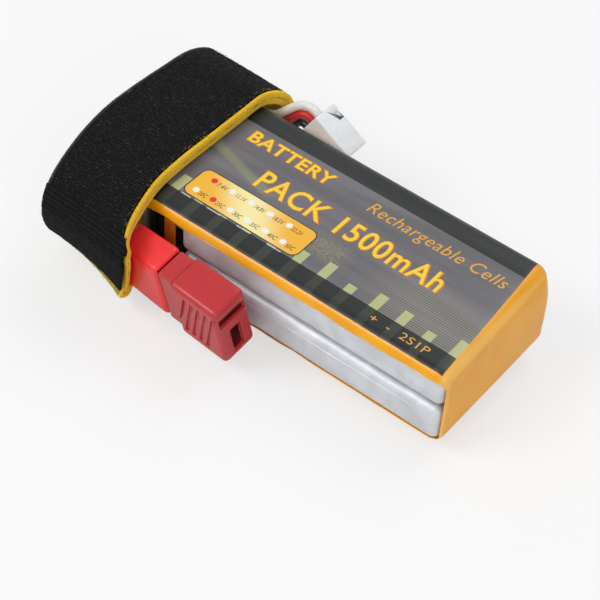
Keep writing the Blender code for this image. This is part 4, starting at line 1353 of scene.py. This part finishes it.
def web_finish(name, colour, dusty, yarn=RIB, fuzz=0.5):
    """Woven nylon: ribs across the webbing, a twill's slant and a dusty, fibrous face."""
    made = Finish(name, tuple(colour), 0.9, 0.0, Specular_IOR_Level=0.08)
    along, across = made.parts(made.weave())[:2]
    spot = made.place()
    wobble = made.grain(spot, 0.9, 2.0)
    fibre = made.grain(spot, 5.5, 5.0)
    speck = made.grain(spot, 2.1, 4.0)
    turn = 2.0 * math.pi / yarn
    rib = (along * turn + (wobble - 0.5) * 5.0).sine()
    yarns = (across * turn * 1.25 + along * turn * 0.5 + (wobble - 0.5) * 4.0).sine()
    cloth = rib * 0.3 + yarns * 0.22 + 0.5
    dust = (speck * 0.4 + fibre * 0.6).rise(0.5, 0.7) * rib.rise(-0.2, 0.9)
    # Painted highlight and painted shade: the weave's raised ribs are coloured lighter and the hollows
    # between them darker, following the same height that drives the relief.
    body = made.mixed(cloth.rise(0.1, 0.9), darker(colour, 0.45), darker(colour, 1.35))
    made.surface(
        Base_Color=made.mixed(dust * fuzz, body, tuple(dusty)),
        Roughness=0.78 + (fibre - 0.5) * 0.3,
    )
    made.relief(cloth * 0.7 + fibre * 0.8 + speck * 0.5, 0.16)
    return made


def thread_finish(name, colour, covered=0.0):
    """Bright thread, worn in places, and black over the part of its turn that is covered."""
    made = Finish(name, tuple(colour), 0.62, 0.0, Sheen_Weight=0.15, Specular_IOR_Level=0.3)
    spot = made.place()
    cloud = made.grain(spot, 0.6, 3.0)
    fibre = made.grain(spot, 7.0, 5.0)
    along, turn = made.parts(made.weave())[:2]
    body = made.mixed(fibre.rise(0.3, 0.7), darker(colour, 0.72), darker(colour, 1.1))
    # Painted shade: the thread is darkened in the grooves between its stitches.
    groove = 1.0 - abs((along * (math.pi / 0.5)).sine()).rise(0.1, 0.6)
    body = made.mixed(groove * 0.55, body, darker(colour, 0.42))
    black = 1.0 - (turn + (cloud - 0.5) * 0.5).rise(covered - 0.12, covered + 0.12)
    body = made.mixed(black, body, tone(20, 20, 21))
    made.surface(
        Base_Color=made.mixed(cloud.rise(0.55, 0.75) * 0.2, body, tone(170, 124, 20)),
        Roughness=0.62 + (fibre - 0.5) * 0.3,
    )
    made.relief(fibre + cloud * 0.4, 0.12)
    return made


def brushed_finish(name, colour):
    """Brushed lining: mottled loops."""
    made = Finish(name, tuple(colour), 0.9, 0.0, Sheen_Weight=0.2, Specular_IOR_Level=0.2)
    spot = made.place()
    loops = made.grain(spot, 3.2, 5.0)
    clump = made.lumps(spot, 1.6)
    shade = made.mixed(loops.rise(0.35, 0.65), darker(colour, 0.45), darker(colour, 1.25))
    made.surface(Base_Color=made.mixed(clump.rise(0.2, 0.6) * 0.4, shade, darker(colour, 0.3)))
    made.relief(loops + clump * 0.5, 0.3)
    return made


def needle(bm, root, tip, bow, radius):
    """A bent fibre: a closed three-sided tube that narrows to a point."""
    way = tip - root
    side = way.orthogonal().normalized()
    other = way.cross(side).normalized()
    rings = []
    for share, size in ((0.0, 1.0), (0.5, 0.8)):
        middle = root + way * share + bow * (4.0 * share * (1.0 - share))
        ring = []
        for k in range(3):
            turn = 2.0 * math.pi * k / 3
            offset = side * math.cos(turn) + other * math.sin(turn)
            ring.append(bm.verts.new((middle + offset * radius * size) * MM))
        rings.append(ring)
    end = bm.verts.new(tip * MM)
    for k in range(3):
        j = (k + 1) % 3
        bm.faces.new((rings[0][k], rings[0][j], rings[1][j], rings[1][k]))
        bm.faces.new((rings[1][k], rings[1][j], end))
    bm.faces.new(rings[0][::-1])


def fibres(name, finish, stretch, shares, depth, count, seed, tall=0.3, long=0.9):
    """Loose fibres that lie on the webbing's face and stand off it a little."""
    dice = random.Random(seed)
    bm = bmesh.new()
    for _ in range(count):
        at = stretch[0] + (stretch[1] - stretch[0]) * dice.random()
        share = shares[0] + (shares[1] - shares[0]) * dice.random()
        here, along, inward = strap_frame(at, share)
        across = along.cross(inward)
        turn = dice.uniform(0.0, 2.0 * math.pi)
        run = dice.uniform(0.35, 1.0) * long
        way = (along * math.cos(turn) + across * math.sin(turn)) * run
        rise = dice.uniform(0.1, 1.0) ** 2 * tall
        root = here + inward * (depth(at) + 0.1)
        tip = root + way - inward * rise
        bow = -inward * rise * dice.uniform(0.2, 1.0) + across * dice.uniform(-0.15, 0.15)
        needle(bm, root, tip, bow, dice.uniform(0.018, 0.035))
    return from_bmesh(name, bm, finish)


class BATTERY_OT_strap(bpy.types.Operator):
    """Adds the hook-and-loop strap: its webbing, lining and bound edges"""

    bl_idname = "battery.strap"
    bl_label = "Strap"

    def execute(self, context):
        sizes = context.scene.battery_strap
        black = web_finish("black webbing", sizes.black, tone(112, 112, 112))
        thread = thread_finish("yellow thread", sizes.yellow)
        loops = brushed_finish("brushed lining", sizes.green)
        hooks_in = sizes.pile + STRAP_GAP + sizes.hooks
        low = hooks_in + STRAP_GAP
        lining_out = sizes.band + STRAP_GAP
        low_lining = low + UNDER_FLAP_BAND + STRAP_GAP
        edge = sizes.edge / STRAP_WIDTH
        inside = (edge + STRAP_GAP / STRAP_WIDTH * 0.4, 1.0 - edge - STRAP_GAP / STRAP_WIDTH * 0.4)

        def band_faces(at):
            return depths_at(at, 0.0, sizes.band, low, low + UNDER_FLAP_BAND)

        def lining_faces(at):
            return depths_at(
                at, lining_out, lining_out + sizes.lining, low_lining, low_lining + UNDER_FLAP_LINING
            )

        def edge_faces(at):
            return depths_at(
                at, 0.0, lining_out + sizes.lining, low, low_lining + UNDER_FLAP_LINING
            )

        def ribbed(run, share):
            rib = 1.0 - abs(math.sin(math.pi * run / RIB))
            patch = ruffled(run, share, 0.9, 18.0, 2.0)
            fine = ruffled(run, share, 3.1, 60.0, 7.0)
            return 0.06 * rib + 0.07 * (patch + 1.0) + 0.04 * (fine + 1.0)

        def brushed(run, share):
            return 0.12 * (ruffled(run, share, 1.3, 26.0, 9.0) + 1.0)

        places = paced(WHOLE, RIB / 4, whole=4)
        band = web_skin("webbing", black, places, evenly(*inside, 44), band_faces, ribbed)
        carried(band, "strap", "black_web", "strap_band")
        coarse = paced(WHOLE, 0.5)
        lining = web_skin("loop_lining", loops, coarse, evenly(*inside, 30), lining_faces, brushed)
        carried(lining, "strap", "yellow_web", "strap_lining")
        covered = thread_finish("covered thread", sizes.yellow, 2.3)
        bindings = (("front", thread, (1.0 - edge, 1.0)), ("rear", covered, (0.0, edge)))
        for name, finish, shares in bindings:
            bound = self.binding(name, finish, shares, edge_faces, sizes.stitch)
            carried(bound, "strap", "yellow_web", "strap_edge_" + name)
        self.patch(sizes, loops, low)
        loose = fibres(
            "loose_fibres", black, WHOLE, inside, lambda at: band_faces(at)[0], sizes.fibres, 11
        )
        carried(loose, "strap", "black_web")
        yellow = fibres(
            "loose_thread",
            thread,
            WHOLE,
            (1.0 - edge * 1.7, 1.0 - edge * 0.5),
            lambda at: edge_faces(at)[0],
            sizes.fibres // 8,
            12,
        )
        carried(yellow, "strap", "yellow_web")
        return {"FINISHED"}

    def patch(self, sizes, finish, low):
        """The brushed patch that the flap's hooks hold, which shows below the flap's end."""
        stretch = (FLAP_START - 3.6, FLAP_START + 0.4)

        def faces(at):
            return depths_at(at, -0.03, 0.14, low - 0.05, low + 0.14)

        def loops(run, share):
            return 0.05 * (ruffled(run, share, 2.2, 40.0, 6.0) + 1.0) - 0.03

        places = paced(stretch, 0.25)
        shares = evenly(0.012, 0.96, 64)
        made = web_skin("loop_patch", finish, places, shares, faces, loops, False, 16)
        carried(made, "strap", "yellow_web")

    def binding(self, name, finish, shares, faces, stitch):
        """An edge bound in thread: a rounded section that swells at each stitch."""
        middle = sum(shares) / 2
        half = (shares[1] - shares[0]) / 2
        turns = [2.0 * math.pi * k / 18 for k in range(18)]
        places = paced(WHOLE, stitch / 6, share=middle, whole=6)
        rows = []
        for at, run in places[:-1]:
            outer, inner = faces(at)
            swell = 0.78 + 0.22 * abs(math.sin(math.pi * run / stitch)) ** 0.7
            swell *= 1.0 + 0.035 * noise.noise(Vector((run * 1.7, middle * 9.0, 4.0))) - 0.035
            row = []
            for turn in turns:
                x, y = math.cos(turn), math.sin(turn)
                x, y = (math.copysign(abs(part) ** 0.6, part) * swell for part in (x, y))
                row.append(strap_point(at, middle + half * x, (outer + inner) / 2 - (inner - outer) / 2 * y))
            rows.append(row)
        across = [4.0 * k / 18 for k in range(19)]
        return lofted("bound_edge_" + name, rows, finish, [run for at, run in places], across, loop=True)


class BATTERY_OT_flap(bpy.types.Operator):
    """Adds the pile flap that closes the strap, with its hook side"""

    bl_idname = "battery.flap"
    bl_label = "Flap"

    def execute(self, context):
        sizes = context.scene.battery_strap
        pile = web_finish("black pile", sizes.black, tone(66, 66, 64), 0.9, 0.6)
        hooks = brushed_finish("hook side", sizes.green)
        places = paced((FLAP_START - FLAP_OVERHANG, FLAP_END), 0.2)
        shares = evenly(0.005, 0.995, 90)

        def fray(share):
            near = noise.noise(Vector((share * 14.0, 1.0, 0.0))) + 1.0
            fine = noise.noise(Vector((share * 55.0, 6.0, 0.0))) + 1.0
            return 0.09 * near + 0.06 * fine

        def frayed(run, share):
            return fray(share) * max(0.0, 1.0 - run / places[-1][1] * 2.5) ** 2

        def lumpy(run, share):
            clump = ruffled(run, share, 0.8, 17.0, 1.0)
            tuft = ruffled(run, share, 2.6, 50.0, 5.0)
            return 0.14 + 0.12 * clump + 0.1 * tuft + worn(share)

        def pile_faces(at):
            return 0.0, sizes.pile

        flap = web_skin(
            "pile_flap", pile, places, shares, pile_faces, lumpy, False, 30, frayed
        )
        carried(flap, "flap", "black_web", "strap_flap")
        self.root(sizes, pile)
        edge = (sizes.edge + STRAP_GAP) / STRAP_WIDTH
        start = sizes.pile + STRAP_GAP

        def hook_faces(at):
            return start, start + sizes.hooks

        def rough(run, share):
            return 0.06 * (ruffled(run, share, 2.2, 44.0, 3.0) + 1.0)

        places_in = paced(FLAP, 0.3)
        shares_in = evenly(edge, 1.0 - edge, 50)
        side = web_skin("hook_side", hooks, places_in, shares_in, hook_faces, rough, False, 20)
        carried(side, "flap", "yellow_web", "flap_lining")
        face = (FLAP_START + 0.1, FLAP_END)
        few = sizes.fibres // 2
        loose = fibres("pile_fibres", pile, face, (0.01, 0.99), lambda at: 0.2, few, 13)
        carried(loose, "flap", "black_web")
        end = (FLAP_START - FLAP_OVERHANG + 0.02, FLAP_START)
        few = sizes.fibres // 10
        fringe = fibres("frayed_end", pile, end, (0.02, 0.98), lambda at: 0.35, few, 14, 0.3)
        carried(fringe, "flap", "black_web")
        return {"FINISHED"}

    def root(self, sizes, pile):
        """The sewn root of the flap: it fills the step above it and bends between strap and flap."""
        sunk = sizes.pile + STRAP_GAP + sizes.hooks + STRAP_GAP - 0.1
        stretch = (FLAP_END + 0.03, FLAP_END + 0.88)

        def faces(at):
            return 0.0, 0.12 + (sunk - 0.12) * under_flap(at)

        def relief(run, share):
            return 0.06 + 0.05 * ruffled(run, share, 2.6, 50.0, 5.0) + worn(share)

        places = paced(stretch, 0.15)
        shares = evenly(0.005, 0.995, 70)
        made = web_skin("flap_root", pile, places, shares, faces, relief, False, 20)
        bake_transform(made)


# ---------------------------------------------------------------- stage

FLOOR_LEVEL = -3.3
FLOOR_RADIUS = 1.6  # in metres
FLOOR_WHITE = 0.62  # how much of the floor's colour the camera sees as plain white
WORLD_LIGHT = 0.45
LAMPS = (  # name, place and size in metres, and power in watts
    ("key_light", (-0.34, -0.46, 0.62), 0.38, 3.0),
    ("fill_light", (0.62, -0.42, 0.42), 0.5, 1.4),
    ("top_light", (0.05, 0.42, 0.7), 0.5, 1.6),
)
AIM = (0.5, 0.0, 8.0)


def lamp(name, place, aim, size, power):
    """A soft square lamp that faces a point, all in metres and watts."""
    light = bpy.data.lights.new(name, "AREA")
    light.shape = "SQUARE"
    light.size = size
    light.energy = power
    made = bpy.data.objects.new(name, light)
    bpy.context.scene.collection.objects.link(made)
    made.location = place
    made.rotation_euler = (Vector(aim) - Vector(place)).to_track_quat("-Z", "Y").to_euler()
    return made


class BATTERY_OT_stage(bpy.types.Operator):
    """Adds the camera, the floor, the backdrop and the lights"""

    bl_idname = "battery.stage"
    bl_label = "Stage"

    def execute(self, context):
        sizes = context.scene.battery_stage
        context.scene.view_settings.view_transform = "Standard"
        self.camera(context.scene, sizes)
        self.world(context.scene)
        self.floor(sizes)
        for name, place, size, power in LAMPS:
            lamp(name, place, Vector(AIM) * MM, size, power)
        return {"FINISHED"}

    def camera(self, scene, sizes):
        turn, rise, roll = sizes.azimuth, sizes.elevation, sizes.roll
        back = Vector(
            (math.sin(turn) * math.cos(rise), -math.cos(turn) * math.cos(rise), math.sin(rise))
        )
        right = Vector((math.cos(turn), math.sin(turn), 0.0))
        up = back.cross(right)
        level, tilt = math.cos(roll), math.sin(roll)
        right, up = right * level - up * tilt, right * tilt + up * level
        data = bpy.data.cameras.new("camera")
        data.lens = sizes.lens
        data.sensor_width = 36.0
        data.clip_start = 0.01
        camera = bpy.data.objects.new("camera", data)
        scene.collection.objects.link(camera)
        camera.location = (
            Vector(AIM) + right * sizes.pan[0] + up * sizes.pan[1] + back * sizes.distance
        ) * MM
        camera.rotation_euler = Matrix((right, up, back)).transposed().to_euler()
        scene.camera = camera

    def world(self, scene):
        """Even light, which cameras and reflections see as white."""
        world = bpy.data.worlds.new("studio")
        world.use_nodes = True
        scene.world = world
        nodes = Nodes(world.node_tree)
        light = nodes.tree.nodes["Background"]
        nodes.feed(light, {"Color": WHITE, "Strength": WORLD_LIGHT})
        white = nodes.node("ShaderNodeBackground", {}, {"Color": WHITE})
        camera, glossy, through = (
            nodes.node("ShaderNodeLightPath", {}, {}, f"Is {kind} Ray")
            for kind in ("Camera", "Glossy", "Transmission")
        )
        lit = Value(nodes, light.outputs[0])
        seen = camera.larger(glossy).larger(through)
        mixed = nodes.node("ShaderNodeMixShader", {}, {0: seen, 1: lit, 2: white})
        nodes.feed(nodes.tree.nodes["World Output"], {"Surface": mixed})

    def floor(self, sizes):
        """A pale floor that runs into the backdrop and keeps the pack's shadow."""
        made = Finish("floor", tuple(sizes.floor), 0.9)
        seen = made.node("ShaderNodeLightPath", {}, {}, "Is Camera Ray")
        white = made.node("ShaderNodeEmission", {}, {"Color": WHITE})
        lit = Value(made, made.shader.outputs[0])
        mixed = made.node("ShaderNodeMixShader", {}, {0: seen * FLOOR_WHITE, 1: lit, 2: white})
        made.feed(made.tree.nodes["Material Output"], {"Surface": mixed})
        bm = bmesh.new()
        bmesh.ops.create_circle(bm, cap_ends=True, segments=96, radius=FLOOR_RADIUS)
        bmesh.ops.translate(bm, verts=bm.verts, vec=(0.0, 0.0, FLOOR_LEVEL * MM))
        from_bmesh("floor", bm, made)


# ---------------------------------------------------------------- panel and registration

PIECES = (
    BATTERY_OT_stage,
    BATTERY_OT_power_plug,
    BATTERY_OT_balance_plug,
    BATTERY_OT_leads,
    BATTERY_OT_sleeve,
    BATTERY_OT_print,
    BATTERY_OT_cells,
    BATTERY_OT_end_parts,
    BATTERY_OT_strap,
    BATTERY_OT_flap,
)
SETTINGS = {
    "battery_film": FilmSettings,
    "battery_cells": CellSettings,
    "battery_plug": PlugSettings,
    "battery_leads": LeadSettings,
    "battery_strap": StrapSettings,
    "battery_stage": StageSettings,
}


class BATTERY_PT_pieces(bpy.types.Panel):
    """Lists the battery pack's pieces."""

    bl_label = "Battery Pack"
    bl_idname = "BATTERY_PT_pieces"
    bl_space_type = "VIEW_3D"
    bl_region_type = "UI"
    bl_category = "Battery"

    def draw(self, context):
        for piece in PIECES:
            self.layout.operator(piece.bl_idname)


def register():
    for kind in (*SETTINGS.values(), *PIECES, BATTERY_PT_pieces):
        bpy.utils.register_class(kind)
    for name, kind in SETTINGS.items():
        setattr(bpy.types.Scene, name, PointerProperty(type=kind))


def unregister():
    for name in SETTINGS:
        delattr(bpy.types.Scene, name)
    for kind in (BATTERY_PT_pieces, *reversed(PIECES), *reversed(list(SETTINGS.values()))):
        bpy.utils.unregister_class(kind)


def main():
    register()
    for piece in PIECES:
        group, name = piece.bl_idname.split(".")
        getattr(getattr(bpy.ops, group), name)()
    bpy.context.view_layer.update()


if __name__ == "__main__":
    main()
